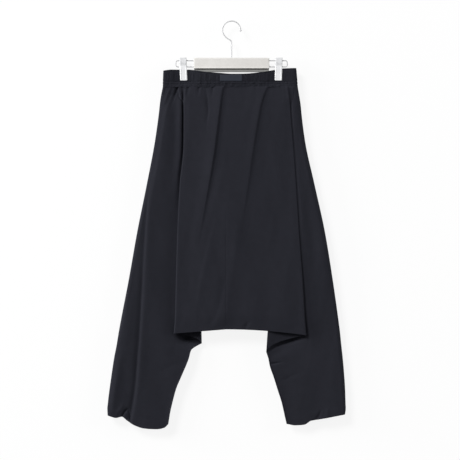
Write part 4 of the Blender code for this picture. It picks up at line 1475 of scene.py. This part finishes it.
BACK_CREASES = creases(
    (5, 14, (18, -166, 1.4), (24, -190, 2.4), (30, -300, 2.6), (36, -420, 1.6), (40, -540, 0)),
    (13, 5, (-62, -168, 1.2), (-58, -210, 2.1), (-50, -320, 2), (-44, -430, 1), (-40, -520, 0)),
    (6, 12, (104, -170, 0.8), (112, -230, 1.8), (128, -340, 1.6), (146, -460, 0.8), (158, -560, 0)),
    (5, 4, (-128, -168, -1.4), (-134, -196, -1.8), (-142, -240, -0.8), (-146, -280, 0)),
    (12, 9, (-150, -210, 0), (-166, -320, 1.4), (-186, -470, 1.4), (-204, -640, 0.6), (-214, -760, 0)),
    (5, 12, (182, -420, 0), (196, -560, 1.6), (214, -720, 2), (232, -880, 1.6), (240, -1000, 0.6)),
    (10, 4.5, (-236, -600, 0), (-246, -740, 1.2), (-258, -880, 1.8), (-266, -1010, 1)),
    (13, 12, (-196, -520, 0), (-206, -660, -1.2), (-216, -820, -1.3), (-222, -960, 0)),
    (8, 9, (118, -880, 0.8), (146, -868, 1.3), (186, -850, 0.8), (226, -838, 0)),
    (8, 9, (-130, -884, 0.8), (-156, -874, 1.2), (-196, -862, 0.6), (-230, -856, 0)),
    (8, 8, (130, -924, -0.8), (160, -932, -1), (196, -950, 0)),
)

FRONT_WAVES = (
    Undulation(11, 0.55, (70.0, 160.0), (260.0, 620.0)),
    Undulation(12, 0.10, (22.0, 48.0), (90.0, 240.0)),
)
BACK_WAVES = (
    Undulation(21, 0.65, (70.0, 150.0), (240.0, 560.0)),
    Undulation(22, 0.12, (22.0, 46.0), (90.0, 240.0)),
)
SWING = Undulation(31, 0.8, (240.0, 460.0), (500.0, 900.0))    # of all layers together
SWING_SET_IN = 120.0


@dataclass(frozen=True)
class Drape:
    """All that moves one layer's cloth off its plain form."""

    layer: Layer
    creases: tuple[Crease, ...]
    waves: tuple[Undulation, ...]
    gathers: Gathers
    set_in: float = 4.0        # height below the waist seam over which creases grow

    def settle(self, points: Values, free: Values) -> Values:
        """Moves a sheet's points forward or back.

        This layer's own creases count as far as the point is free; the shared ones move
        every layer alike, so that none passes through another.

        Args:
            points: the sheet's points, (count, 3).
            free: how far each may be creased by itself.

        Returns:
            The moved points.
        """
        x, z = points[:, 0], points[:, 2]
        below = np.maximum(WAIST_SEAM - z, 0.0)
        own = sum(wave.relief(x, z) for wave in self.waves)
        together = SWING.relief(x, z) * ease(below / SWING_SET_IN)
        own = sum((crease.relief(x, z) for crease in self.creases), own)
        together = sum((crease.relief(x, z) for crease in SHARED_CREASES), together)
        own = own * ease(below / self.set_in) + self.gathers.relief(x, below)
        moved = points.copy()
        moved[:, 1] += self.layer.value * own * free - together
        return moved


DRAPES = {
    Layer.FRONT: Drape(Layer.FRONT, FRONT_CREASES, FRONT_WAVES, Gathers(41)),
    Layer.BACK: Drape(Layer.BACK, BACK_CREASES, BACK_WAVES, Gathers(42, spacing=7.0)),
}


@dataclass
class Panel:
    """One panel of trouser cloth."""

    side: Side
    layer: Layer
    hem_depth: float = 22.0    # the turned-up hem
    hem_wall: float = 1.35
    hem_fade: float = 1.6      # height over which its thickness ends

    @property
    def name(self) -> str:
        """The CAD node that the panel stands for."""
        return f"{self.layer.name.lower()}_{self.side.name.lower()}"

    def build(self) -> Piece:
        """Builds the panel as a thin shell, thicker where the hem is turned up.

        Returns:
            The panel.
        """
        sheet, free = PanelForm(self.side, self.layer).sheet()
        wall = self.walls(sheet)
        sheet.points = DRAPES[self.layer].settle(sheet.points, free)
        return add_object(f"{self.name}_cloth", shell(sheet, wall), NAVY, (self.name,), sharp=60.0)

    def walls(self, sheet: Surface) -> Values:
        """Wall at each point: the cloth's own, and more within the hem's depth of the hem.

        Args:
            sheet: the panel's sheet.

        Returns:
            The wall for each of its points.
        """
        columns = ROOT_COLUMN + 1
        legs = sheet.points[-LEG_ROW_COUNT * columns:].reshape(LEG_ROW_COUNT, columns, 3)
        above = legs[:, :, 2] - legs[-1:, :, 2]
        thicker = 1.0 - ease((above - self.hem_depth) / self.hem_fade)
        wall = np.full(len(sheet.points), CLOTH)
        wall[-LEG_ROW_COUNT * columns:] = mix(CLOTH, self.hem_wall, thicker).reshape(-1)
        return wall


# ---- waistband

BAND_WALL = 2.4
CLIP_OUT = 124.0                            # how far out each clip holds the band
BAND_TOP = Table(("x", "top"), (
    (-178, -127.7), (-155, -125.2), (-113, -125.2), (-71, -130.6), (-30, -134),
    (0, -136.2), (32, -136), (74, -132.2), (105, -127), (136, -121.9), (172, -121),
))
BAND_SIDE_TOP = {Side.LEFT: 177.5, Side.RIGHT: 168.5}
BAND_ROUND = 7.0                            # reach of the rounded sides
BAND_SIDE, BAND_BELLY, BAND_REACH = 5.9, 2.1, 170.0    # half its depth out there, and more within
BAND_PINCH = 1.45                           # half its depth in the clips
PINCH_HALF, PINCH_FADE, PINCH_RISE = 11.0, 34.0, 15.0
BAND_FOOT = -171.0                          # the casing laps over the panels' upper edges
STITCH_LINES = (-156.4, -163.6)             # heights of the rows of stitches round the band
TOP_STITCH = 4.2                            # and how far the top one lies under the edge
PUFFS = tuple(Undulation(seed, 0.34, (6.0, 26.0), (400.0, 900.0)) for seed in (61, 62, 63))


def band_depth(x: Values, height: Values) -> Values:
    """Half the depth of the band.

    It bows out by a square of the way from its middle, and is pinched flat at each clip
    above the pinch's foot, easing out to each side of it.

    Args:
        x: places along X.
        height: heights.

    Returns:
        Half the depth at each.
    """
    bow = BAND_SIDE + BAND_BELLY * (1.0 - (x / BAND_REACH) ** 2)
    pinch = 1.0 - ease((np.abs(np.abs(x) - CLIP_OUT) - PINCH_HALF) / PINCH_FADE)
    pinch = pinch * ease((height - BAND_FOOT) / PINCH_RISE)
    return mix(bow, BAND_PINCH, pinch)


# wrinkles beside the label, and the same kind behind
BAND_CREASES = {
    Layer.FRONT: creases(
        (2.2, 1.6, (34, -136, 1), (38, -145, 2), (45, -154, 0.9)),
        (1.8, 2, (44, -136, 0.5), (49, -144, -1.9), (55, -152, -0.3)),
        (2.2, 1.6, (53, -136, 0.8), (57, -142, 1.8), (64, -151, 0.6)),
        (2, 1.8, (66, -134, -0.6), (70, -142, -1.6), (73, -152, -0.3)),
        (3, 2, (-96, -130, 0.3), (-92, -141, 0.9), (-91, -154, 0.3)),
        (2.2, 2.6, (-62, -134, -0.3), (-59, -144, -0.9), (-60, -154, 0)),
    ),
    Layer.BACK: creases(
        (2.2, 2.8, (-40, -136, 0.5), (-35, -145, 1.2), (-30, -154, 0.4)),
        (2.4, 1.8, (28, -137, -0.4), (33, -146, -1), (35, -154, 0)),
        (1.8, 2.6, (84, -130, 0.4), (80, -142, 1), (82, -154, 0.2)),
    ),
}


@dataclass
class Waistband:
    """One half of the cased elastic waistband, with its rows of stitches."""

    layer: Layer
    columns: int = 300
    rows: int = 56
    groove: float = 1.5        # how far a row of stitches draws the casing in
    sink: float = 0.7          # and how far it moves the middle of the wall
    puff: float = 0.85         # how much of the gathers shows on the band
    slack: Undulation = Undulation(51, 0.36, (7.0, 34.0), (300.0, 900.0))
    pull: Triple = (0.4, 0.85, 1.2)            # least, usual and greatest pull of a stitch
    row_width: float = 1.15
    top_row: Pair = (0.8, 0.9)                 # pull and width of the top row
    thinning: Triple = (1.0, -161.0, 0.25)     # thinning at the foot, its start, the least wall
    grip: Pair = (10.0, 5.0)                   # half width of a clip's hold, and its fade
    calm_foot: float = -160.0                  # above it the band is smooth in clips and label
    calm_fade: float = 6.0
    label_span: Pair = (-36.0, 33.0)
    label_fade: Pair = (5.0, 4.0)              # along the band and down it
    label_calm: float = 0.85                   # how smooth it lies under the label
    top_rows: tuple[float, ...] = (0.0, 0.004, 0.012, 0.024)
    first_row: float = 0.04                    # where the even rows below those start
    side_columns: int = 10
    stitched: tuple[float, float, int] = (0.02, 0.98, 900)    # ends and points of a stitch line

    @property
    def name(self) -> str:
        """The CAD node that the band stands for."""
        return f"waistband_{self.layer.name.lower()}"

    def middle(self, along: Values, share: Values) -> Values:
        """Points in the middle of the band's wall.

        Args:
            along: way round from the left side seam, 0, to the right one, 1.
            share: way down from the top edge, 0, to the waist seam, 1.

        Returns:
            Points, in the broadcast shape of the two, then 3.
        """
        along, share = np.broadcast_arrays(along, share)
        ends = {
            side: mix(
                BAND_SIDE_TOP[side] - BAND_WALL / 2,
                float(BODY[side].at("side", WAIST_SEAM)) - CLOTH / 2, share,
            )
            for side in Side
        }
        left, right = -ends[Side.LEFT], ends[Side.RIGHT]
        x = mix(left, right, along)
        edge = np.minimum(x - left, right - x)
        quarter = np.sqrt(1.0 - (1.0 - np.clip(edge / BAND_ROUND, 0.0, 1.0)) ** 2)
        top = BAND_TOP.at("top", x)
        height = mix(top, BAND_FOOT, share)
        gathers = DRAPES[self.layer].gathers.relief(x, np.zeros_like(x))
        swell = np.sin(math.pi * np.clip(share, 0.0, 1.0)) * 0.5 + 0.5
        grip_half, grip_fade = self.grip
        pinched = 1.0 - ease((np.abs(np.abs(x) - CLIP_OUT) - grip_half) / grip_fade)
        above = height - self.calm_foot
        calm = 1.0 - pinched * ease(above / self.calm_fade)
        if self.layer is Layer.FRONT:
            (start, end), (along_fade, down_fade) = self.label_span, self.label_fade
            on_label = ease((x - start) / along_fade) * ease((end - x) / along_fade)
            calm = calm * (1.0 - self.label_calm * on_label * ease(above / down_fade))
        wrinkles = sum(crease.relief(x, height) for crease in BAND_CREASES[self.layer])
        relief = gathers * self.puff * swell + wrinkles + self.puffs(x, height, top)
        relief = relief - self.sink * self.drawn(x, height, top)
        depth = (band_depth(x, height) + relief * calm) * quarter
        return np.stack([x, self.layer.value * depth, height], axis=-1)

    def puffs(self, x: Values, height: Values, top: Values) -> Values:
        """Cloth that swells between the rows of stitches.

        Slow sines along each strip, by half a sine across it.

        Args:
            x: places along X.
            height: heights.
            top: height of the top edge at each.

        Returns:
            The relief.
        """
        lines = [top - TOP_STITCH, *STITCH_LINES, BAND_FOOT]
        total = np.zeros_like(x)
        for puff, upper, lower in zip(PUFFS, lines, lines[1:]):
            across = np.clip((upper - height) / (upper - lower), 0.0, 1.0)
            total = total + puff.relief(x, height) * np.sin(math.pi * across)
        return total

    def drawn(self, x: Values, height: Values, top: Values) -> Values:
        """How far the stitches draw the casing in: a bell at each row, tighter and looser.

        Args:
            x: places along X.
            height: heights.
            top: height of the top edge at each.

        Returns:
            The pull, 1 where it is whole.
        """
        least, usual, most = self.pull
        pull = np.clip(usual + self.slack.relief(x, height), least, most)
        rows = sum(np.exp(-((height - line) / self.row_width) ** 2) for line in STITCH_LINES)
        share, width = self.top_row
        return pull * (rows + share * np.exp(-((top - height - TOP_STITCH) / width) ** 2))

    def wall_at(self, x: Values, height: Values, top: Values) -> Values:
        """Wall of the casing.

        It is less where the stitches draw it in, thins toward its foot and is rounded at
        the top.

        Args:
            x: places along X.
            height: heights.
            top: height of the top edge at each.

        Returns:
            The wall at each place.
        """
        less, start, least = self.thinning
        wall = BAND_WALL - less * ease((start - height) / (start - BAND_FOOT))
        wall = wall - self.groove * self.drawn(x, height, top)
        down = np.clip((top - height) / (BAND_WALL / 2), 0.0, 1.0)
        return np.maximum(wall * np.sqrt(1.0 - (1.0 - down) ** 2), least)

    def sheet(self) -> tuple[Surface, Values]:
        """The band's sheet and its wall at each point.

        Columns are even along it and closer at the rounded ends, and rows closer at the top.

        Returns:
            The sheet, and the wall for each of its points.
        """
        even = np.linspace(0.0, 1.0, self.columns)
        quarter = np.linspace(0.0, math.pi / 2, self.side_columns)
        ends = BAND_ROUND / WAIST_WIDTH * (1.0 - np.cos(quarter))
        inner = even[(even > ends[-1]) & (even < 1.0 - ends[-1])]
        along = np.concatenate([ends, inner, 1.0 - ends[::-1]])
        below = np.linspace(self.first_row, 1.0, self.rows - len(self.top_rows))
        share = np.concatenate([self.top_rows, below])
        points = self.middle(along[None, :], share[:, None])
        wall = self.wall_at(points[..., 0], points[..., 2], points[:1, :, 2]).reshape(-1)
        cut = np.stack([run_along(points), points[..., 2]], axis=-1).reshape(-1, 2)
        return Surface(points.reshape(-1, 3), grid_faces(len(share), len(along)), cut), wall

    def build(self) -> Piece:
        """Builds the casing of the band."""
        sheet, wall = self.sheet()
        return add_object(f"{self.name}_casing", shell(sheet, wall), NAVY_BAND, (self.name,), sharp=60.0)

    def outer_line(self, height: float | None, off: float) -> Values:
        """A line along the band's outer face.

        Args:
            height: its height, or None for the row under the top edge.
            off: how far it stands off the middle of the wall.

        Returns:
            Points, (count, 3).
        """
        along = np.linspace(*self.stitched)
        top = self.middle(along, np.zeros_like(along))[:, 2]
        level = top - TOP_STITCH if height is None else np.full_like(top, height)
        share = (top - level) / (top - BAND_FOOT)
        line = self.middle(along, share)
        line[:, 1] += self.layer.value * off
        return line

    def stitches(self) -> None:
        """Builds all the rows of stitches on the band as one piece."""
        clear = 0.02
        off = (BAND_WALL - self.groove) / 2 + clear
        rows = [
            Stitches().along(self.outer_line(line, off), self.layer) for line in (None, *STITCH_LINES)
        ]
        add_object(f"{self.name}_stitches", joined(rows), THREAD)


@dataclass(frozen=True)
class Stitches:
    """A row of lockstitches, each a little closed grain of thread."""

    pitch: float = 2.9
    length: float = 2.2
    radius: float = 0.2
    taper: float = 0.16        # share of its length over which a grain narrows to each end
    tip: float = 0.35          # size of its ends
    sides: int = 6

    def along(self, line: Values, layer: Layer) -> Surface:
        """Stitches laid along a line.

        Each grain has four rings: small, full, full, small, about the chord of its stretch.

        Args:
            line: points on the cloth's face, (count, 3).
            layer: which way the cloth faces.

        Returns:
            All the grains as one surface.
        """
        run = np.concatenate([[0.0], np.cumsum(np.linalg.norm(np.diff(line, axis=0), axis=1))])
        start = np.arange(self.pitch, run[-1] - self.pitch, self.pitch)
        ends = [
            np.column_stack([np.interp(at, run, line[:, axis]) for axis in range(3)])
            for at in (start, start + self.length)
        ]
        chord = ends[1] - ends[0]
        along = chord / np.linalg.norm(chord, axis=1, keepdims=True)
        outward = np.array([0.0, layer.value, 0.0])
        up = np.cross(along, outward)
        up /= np.linalg.norm(up, axis=1, keepdims=True)
        share = np.array([0.0, self.taper, 1.0 - self.taper, 1.0])
        size = np.array([self.tip, 1.0, 1.0, self.tip]) * self.radius
        angle = np.linspace(0.0, 2.0 * math.pi, self.sides, endpoint=False)
        centre = ends[0][:, None] + chord[:, None] * share[None, :, None]
        circle = np.cos(angle)[:, None] * up[:, None] + np.sin(angle)[:, None] * outward
        rings = centre[:, :, None] + circle[:, None] * size[None, :, None, None]
        count = rings.shape[0]
        model = capped_rings(rings[0])
        step = len(model.points)
        faces = (model.faces[None] + np.arange(count)[:, None, None] * step).reshape(-1, 4)
        points = rings.reshape(-1, 3)
        cut = np.column_stack([points[:, 0], points[:, 2]])
        return Surface(points, faces, cut)


@dataclass
class Label:
    """The blank woven label sewn to the front of the band."""

    left: float = -30.0
    right: float = 27.0
    top: float = -138.6
    bottom: float = -155.0
    wall: float = 0.6
    lift: float = 0.12         # clear of the band
    raised: float = 0.28       # how much further the label stands inside its edges
    edge: float = 2.0          # and over which width
    sunk: float = 0.12         # how much of that it loses past them
    sunk_width: float = 1.5
    columns: int = 60
    rows: int = 22

    def build(self) -> Piece:
        """Builds the label off the band's own face, its edges turned in.

        Returns:
            The label.
        """
        x = np.linspace(self.left, self.right, self.columns)[None, :]
        z = np.linspace(self.top, self.bottom, self.rows)[:, None]
        x, z = np.broadcast_arrays(x, z)
        off = BAND_WALL / 2 + self.wall / 2 + self.lift
        depth = -band_depth(x, z) - off
        beside = np.minimum(x - self.left, self.right - x)
        inset = np.minimum(beside, np.minimum(self.top - z, z - self.bottom))
        depth = depth - self.raised * ease(inset / self.edge)
        depth = depth + self.sunk * ease((inset - self.edge) / self.sunk_width)
        points = np.stack([x, depth, z], axis=-1).reshape(-1, 3)
        sheet = Surface(points, grid_faces(self.rows, self.columns), points[:, [0, 2]])
        return add_object("label_blank", shell(sheet, self.wall), LABEL_SATIN, ("label",))


# ---- hanger


@dataclass
class Hanger:
    """The clip hanger: hook, bar, wire rails and two sprung clips."""

    hook_radius: float = 23.5
    wire: float = 1.5
    ball: float = 2.6
    ball_angle: float = 4.0       # degrees, where the ball meets the wire
    ball_end: float = 0.3         # least radius of the ball's far end
    hook_start: float = -9.4      # degrees, the ball's far end
    hook_end: float = 214.0
    hook_bend: Triple = (14.0, 1.2, 0.8)       # its reach, and shares at the arc and the stem
    hook_points: tuple[int, int, int] = (150, 34, 14)    # along the arc, the bend and the stem
    clear: float = 0.3            # between wires and the bar
    stem_top: float = -56.0
    bar_top: float = -94.4
    bar_bottom: float = -122.8
    bar_half: float = 98.4
    bar_depth: float = 13.0
    bar_round: float = 2.5
    bar_power: float = 0.22       # 1 is an ellipse, and 0 an oblong
    bar_toe: float = 0.9          # how much thicker its foot is on each side
    bar_foot: Pair = (4.0, 1.8)   # height of the foot, and of the ease into it
    # half length and foot of the dark sheet of painted shadow under the bar
    shadow_strip_half: float = 97.2
    shadow_strip_foot: float = -131.5
    clip_shift: float = -1.6      # of both clips along the rails
    rail_top: float = -101.8
    rail_bottom: float = -117.8
    rail_end: float = 145.0
    rail_wire: float = 1.3
    rail_corner: float = 5.0
    clip_lean: dict[Side, float] = field(default_factory=lambda: {Side.LEFT: -0.04, Side.RIGHT: 0.025})
    clip_width: float = 19.0
    clip_top: float = -93.9
    clip_foot: float = -153.7
    clip_wall: float = 0.9
    clip_corner: float = 2.2
    clip_tuck: float = 0.55       # how far the corners' rounding draws the sides in
    clip_handle: Pair = (6.0, 8.0)             # its start under the rail, the ease into it
    clip_bent: Quad = (0.84, 0.16, 2.2, 0.5)   # start, width, depth at the handle and the jaw
    clip_rib: Quad = (0.55, 0.74, 0.1, 3.0)    # height, place, width, ease at its ends
    clip_dish: Quad = (0.2, 0.42, 12.0, 8.0)   # depth, width, place under the top, height

    def build(self) -> None:
        """Builds every piece of the hanger."""
        self.hook()
        self.bar()
        # the dark sheet of painted shadow under the bar
        self.strip()
        for side in Side:
            self.rail(side)
            for layer in Layer:
                self.clip(side, layer)
            self.spring(side)

    def hook(self) -> None:
        """The hook: an arc from the ball, a cubic bend into the stem, and the stem."""
        middle = self.wire - self.hook_radius
        arc_points, bend_points, stem_points = self.hook_points
        angle = np.radians(np.linspace(self.hook_start, self.hook_end, arc_points))
        arc = np.column_stack([
            self.hook_radius * np.cos(angle), middle + self.hook_radius * np.sin(angle),
        ])
        leave = math.radians(self.hook_end)
        reach, at_arc, at_stem = self.hook_bend
        start, foot = arc[-1], np.array([0.0, self.stem_top])
        near = start + np.array([-math.sin(leave), math.cos(leave)]) * reach * at_arc
        far = foot + np.array([0.0, reach * at_stem])
        t = np.linspace(0.0, 1.0, bend_points)[1:, None]
        bend = (1 - t) ** 3 * start + 3 * t * (1 - t) ** 2 * near
        bend = bend + 3 * t * t * (1 - t) * far + t ** 3 * foot
        height = np.linspace(self.stem_top, self.bar_top + self.clear, stem_points)[1:]
        stem = np.column_stack([np.zeros_like(height), height])
        path = np.vstack([arc, bend, stem])
        centre_angle = math.radians(self.ball_angle) - (self.ball + self.ball_end) / self.hook_radius
        far_angle = 9.0           # stands for any place past the arc
        turned = np.concatenate([angle, np.full(len(bend) + len(stem), far_angle)])
        off = (turned - centre_angle) * self.hook_radius
        round_ball = np.sqrt(np.maximum(self.ball ** 2 - off ** 2, 0.0))
        radius = np.maximum(round_ball, np.where(off < 0.0, self.ball_end, self.wire))
        points = np.column_stack([path[:, 0], np.zeros(len(path)), path[:, 1]])
        wire = tube(points, radius, 24, np.array([0.0, 1.0, 0.0]))
        add_object("hook_wire", wire, CHROME, ("hanger_hook", "hanger_hook_tip"))

    def bar(self) -> None:
        """The painted bar.

        A rounded oblong section, a little thicker at its foot, drawn in by a quarter round
        at each end.
        """
        sides = 64
        half_depth, middle = self.bar_depth / 2, (self.bar_top + self.bar_bottom) / 2
        half_height = (self.bar_top - self.bar_bottom) / 2
        angle = np.linspace(0.0, 2.0 * math.pi, sides, endpoint=False) + math.pi / sides
        y = np.sign(np.cos(angle)) * np.abs(np.cos(angle)) ** self.bar_power
        z = np.sign(np.sin(angle)) * np.abs(np.sin(angle)) ** self.bar_power
        quarter = np.linspace(0.0, math.pi / 2, 9)
        end = self.bar_half - self.bar_round * (1.0 - np.cos(quarter))
        inset = self.bar_round * (1.0 - np.sin(quarter))
        station = np.concatenate([-end, end[::-1]])[:, None]
        drawn = np.concatenate([inset, inset[::-1]])[:, None]
        height = z * (half_height - drawn)
        foot_height, foot_ease = self.bar_foot
        foot = ease((-height - (half_height - foot_height)) / foot_ease)
        depth = y * (mix(half_depth - self.bar_toe, half_depth, foot) - drawn)
        rings = np.stack([np.broadcast_to(station, depth.shape), depth, middle + height], axis=-1)
        add_object("bar_painted", capped_rings(rings), BAR_PAINT, ("hanger_bar",))

    def strip(self) -> None:
        """The dark grey sheet of painted shadow under the bar: a thin neck out of its foot for the deep
        shade right under it, then a lip with round edges for the paler shadow below.
        """
        profile = Table(("height", "half"), (
            (self.bar_bottom + 2.0, 0.5), (self.bar_bottom - 2.4, 0.5), (self.bar_bottom - 3.4, 2.2),
            (self.bar_bottom - 4.2, 2.5), (self.shadow_strip_foot + 0.7, 2.5), (self.shadow_strip_foot, 1.9),
        ))
        z = np.linspace(self.bar_bottom + 2.0, self.shadow_strip_foot, 40)
        half = profile.at("half", z)
        y = np.concatenate([half, -half[::-1]])
        z = np.concatenate([z, z[::-1]])
        side = np.array([-self.shadow_strip_half, self.shadow_strip_half])[:, None]
        rings = np.stack(np.broadcast_arrays(side, y, z), axis=-1)
        add_object("bar_strip", strip_skin(rings), PAINTED_BAR_SHADOW)

    def rail(self, side: Side) -> None:
        """A wire loop out of the bar's end: straight, two round corners, straight back.

        Args:
            side: which end.
        """
        start, turn_out = self.bar_half + self.clear, self.rail_end - self.rail_corner
        angle = np.linspace(math.pi / 2, 0.0, 12)
        corner_x, corner_z = np.cos(angle) * self.rail_corner, np.sin(angle) * self.rail_corner
        top = np.column_stack([turn_out + corner_x, self.rail_top - self.rail_corner + corner_z])
        bottom = np.column_stack([turn_out + corner_x, self.rail_bottom + self.rail_corner - corner_z])
        path = np.vstack([[start, self.rail_top], top, bottom[::-1], [start, self.rail_bottom]])
        points = np.column_stack([side.value * path[:, 0], np.zeros(len(path)), path[:, 1]])
        name = f"rail_{side.name.lower()}"
        wire = tube(points, self.rail_wire, 20, np.array([0.0, 1.0, 0.0]))
        add_object(f"{name}_wire", wire, CHROME, (f"hanger_{name}",))

    def clip_profile(self) -> Table:
        """How far a clip's plate stands off the middle.

        Returns:
            A table of it by height.
        """
        foot, waist, bow, splay = 3.65, 4.1, 6.1, 7.4
        return Table(("height", "off"), (
            (self.clip_foot, foot),
            (self.clip_foot + 17.0, foot),
            (self.rail_bottom - 3.0, waist),
            (self.rail_bottom + 2.0, waist),
            (self.rail_bottom + 11.0, bow),
            (self.clip_top, splay),
        ))

    def clip(self, side: Side, layer: Layer) -> None:
        """One pressed plate of a clip.

        Across, it is flat with its two edges bent back; the lower half has a raised rib
        along each edge and the handle a shallow oval dish. Its corners are rounded.

        Args:
            side: which clip.
            layer: its front or its back plate.
        """
        wall, corner, columns, rows = self.clip_wall, self.clip_corner, 41, 90
        middle = side.value * CLIP_OUT + self.clip_shift
        z = np.linspace(self.clip_top - wall / 2, self.clip_foot + wall / 2, rows)[:, None]
        u = np.linspace(-1.0, 1.0, columns)[None, :]
        end = np.minimum(self.clip_top - z, z - self.clip_foot)
        short = 1.0 - np.minimum(end, corner) / corner
        tuck = corner * (1.0 - np.sqrt(np.clip(1.0 - short ** 2, 0.0, 1.0)))
        half = self.clip_width / 2 - wall / 2 - self.clip_tuck * tuck
        x = middle + self.clip_lean[side] * (z - self.rail_bottom) + u * half
        off = np.broadcast_to(self.clip_profile().at("off", z), x.shape)
        under, fade = self.clip_handle
        low = 1.0 - ease((z - self.rail_bottom + under) / fade)
        start, width, at_handle, at_jaw = self.clip_bent
        bent = ease((np.abs(u) - start) / width) * mix(at_handle, at_jaw, low)
        height, place, width, fade = self.clip_rib
        rib = height * low * np.exp(-((np.abs(u) - place) / width) ** 2) * ease(end / fade)
        deep, width, place, height = self.clip_dish
        dish_z = (z - (self.clip_top - place)) / height
        dish = deep * (1.0 - low) * np.exp(-((u / width) ** 4 + dish_z ** 4))
        depth = layer.value * (off - bent + rib - dish)
        points = np.stack([x, depth, np.broadcast_to(z, x.shape)], axis=-1).reshape(-1, 3)
        name = f"clip_{side.name.lower()}_{layer.name.lower()}"
        plate = shell(Surface(points, grid_faces(rows, columns)), wall)
        add_object(f"{name}_plate", plate, CLIP_METAL, (name,))

    def spring(self, side: Side) -> None:
        """A clip's spring: a helix round the lower wire.

        Args:
            side: which clip.
        """
        turns, radius, wire, length = 8.0, 2.45, 0.55, 11.6
        angle = np.linspace(0.0, 2.0 * math.pi * turns, 260)
        x = np.linspace(-length / 2, length / 2, len(angle))
        helix = np.column_stack([x, radius * np.cos(angle), radius * np.sin(angle)])
        path = helix + np.array([side.value * CLIP_OUT + self.clip_shift, 0.0, self.rail_bottom])
        name = f"clip_{side.name.lower()}_spring"
        coil = tube(path, wire, 8, np.array([1.0, 0.0, 0.0]))
        add_object(f"{name}_coil", coil, CHROME, (name,))


# ---- the set


# name, place in metres, power in watts and side in metres
STUDIO_LIGHTS = (
    ("Key", (-7.65, -9.9, 7.86), 2150.0, 4.4),
    ("Side", (-4.0, -1.2, 0.4), 128.0, 1.4),
    ("Fill", (4.3, -1.9, 0.9), 86.0, 1.8),
    ("Back", (1.2, 2.6, 0.4), 28.0, 1.5),
)


@dataclass
class Studio:
    """Pale backdrop and floor in one sweep, soft lights and the camera."""

    view_width: float = 1.196
    view_centre: Pair = (-0.004, -0.542)
    distance: float = 6.0
    sensor: float = 36.0
    wall_depth: float = 0.024
    wall_top: float = 1.2
    half_width: float = 2.2
    floor_height: float = -1.36
    floor_front: float = -2.6
    sweep: float = 0.12

    def backdrop(self) -> None:
        """One sheet: the wall down to a quarter round, then the floor toward the camera."""
        angle = np.linspace(0.0, math.pi / 2, 12)
        bend_y = self.wall_depth - self.sweep + self.sweep * np.cos(angle)
        bend_z = self.floor_height + self.sweep - self.sweep * np.sin(angle)
        y = np.concatenate([[self.wall_depth], bend_y, [self.floor_front]])
        z = np.concatenate([[self.wall_top], bend_z, [self.floor_height]])
        x = np.array([-self.half_width, self.half_width])
        grid_x, grid_y = np.meshgrid(x, y)
        grid_z = np.broadcast_to(z[:, None], grid_x.shape)
        points = np.stack([grid_x, grid_y, grid_z], axis=-1).reshape(-1, 3)
        mesh = bpy.data.meshes.new("Backdrop")
        mesh.from_pydata(points.tolist(), [], grid_faces(len(y), 2)[:, ::-1].tolist())
        mesh.shade_smooth()
        mesh.materials.append(self.paper())
        sheet = in_scene("Backdrop", mesh)
        for ray in ("diffuse", "glossy", "transmission", "shadow"):
            setattr(sheet, f"visible_{ray}", False)

    def paper(self) -> Material:
        """White paper, evenly lit of itself.

        It is clear from behind, so that the garment's back can be seen.

        Returns:
            The material.
        """
        material = bpy.data.materials.new("Pale_backdrop")
        material.use_nodes = True
        tree = material.node_tree
        shader = tree.nodes["Principled BSDF"]
        set_constants(shader, {
            "Base Color": (0.10, 0.10, 0.10, 1.0), "Emission Color": (1.0, 1.0, 1.0, 1.0),
            "Emission Strength": 0.875, "Roughness": 1.0, "Specular IOR Level": 0.0,
        })
        clear = add_node(tree, "BsdfTransparent", {}).outputs[0]
        backfacing = add_node(tree, "NewGeometry", {}).outputs["Backfacing"]
        choose = add_node(tree, "MixShader", {0: backfacing, 1: shader.outputs[0], 2: clear})
        tree.links.new(choose.outputs[0], tree.nodes["Material Output"].inputs["Surface"])
        return material

    def light(self, name: str, place: Triple, power: float, size: float) -> None:
        """A square soft light that faces the garment's middle.

        Args:
            name: its name.
            place: where it stands, in metres.
            power: its power in watts.
            size: its side in metres.
        """
        data = bpy.data.lights.new(name, "AREA")
        data.energy, data.size = power, size
        lamp = in_scene(name, data)
        aim = np.array([self.view_centre[0], 0.0, self.view_centre[1]]) - np.array(place)
        across = math.hypot(aim[0], aim[1])
        lamp.location = place
        lamp.rotation_euler = (math.atan2(across, -aim[2]), 0.0, math.atan2(-aim[0], aim[1]))

    def camera(self) -> None:
        """A long lens square to the front, as wide as the view at the garment's plane."""
        data = bpy.data.cameras.new("Camera")
        data.sensor_width = self.sensor
        data.lens = self.sensor * self.distance / self.view_width
        data.clip_end = 50.0
        camera = in_scene("Camera", data)
        camera.location = (self.view_centre[0], -self.distance, self.view_centre[1])
        camera.rotation_euler = (math.pi / 2, 0.0, 0.0)
        bpy.context.scene.camera = camera

    def build(self) -> None:
        """Sets up the backdrop, the lights, the surroundings and the camera."""
        self.camera()
        self.backdrop()
        for lamp in STUDIO_LIGHTS:
            self.light(*lamp)
        world = bpy.data.worlds.new("Studio")
        bpy.context.scene.world = world
        world.use_nodes = True
        surroundings = world.node_tree.nodes["Background"]
        surroundings.inputs["Color"].default_value = (0.98, 0.985, 1.0, 1.0)
        surroundings.inputs["Strength"].default_value = 0.24
        bpy.context.scene.view_settings.view_transform = "Standard"


def declare_sheets(panels: list[Piece], bands: list[Piece]) -> None:
    """Works out an area for each panel and reads the front band's name, but keeps neither.

    Args:
        panels: the four panels.
        bands: the waistband's front and back.
    """
    for panel in panels:
        area = 0.27 if "right" in panel.name else 0.245
    bands[0].name


def main() -> None:
    """Builds the garment, the hanger and the set, in order."""
    logging.basicConfig(level=logging.INFO, format="%(message)s")
    panels = [Panel(side, layer).build() for layer in Layer for side in Side]
    waistband = [Waistband(layer) for layer in Layer]
    bands = [half.build() for half in waistband]
    for half in waistband:
        half.stitches()
    label = Label().build()
    Hanger().build()
    declare_sheets(panels, bands)
    Studio().build()


if __name__ == "__main__":
    main()
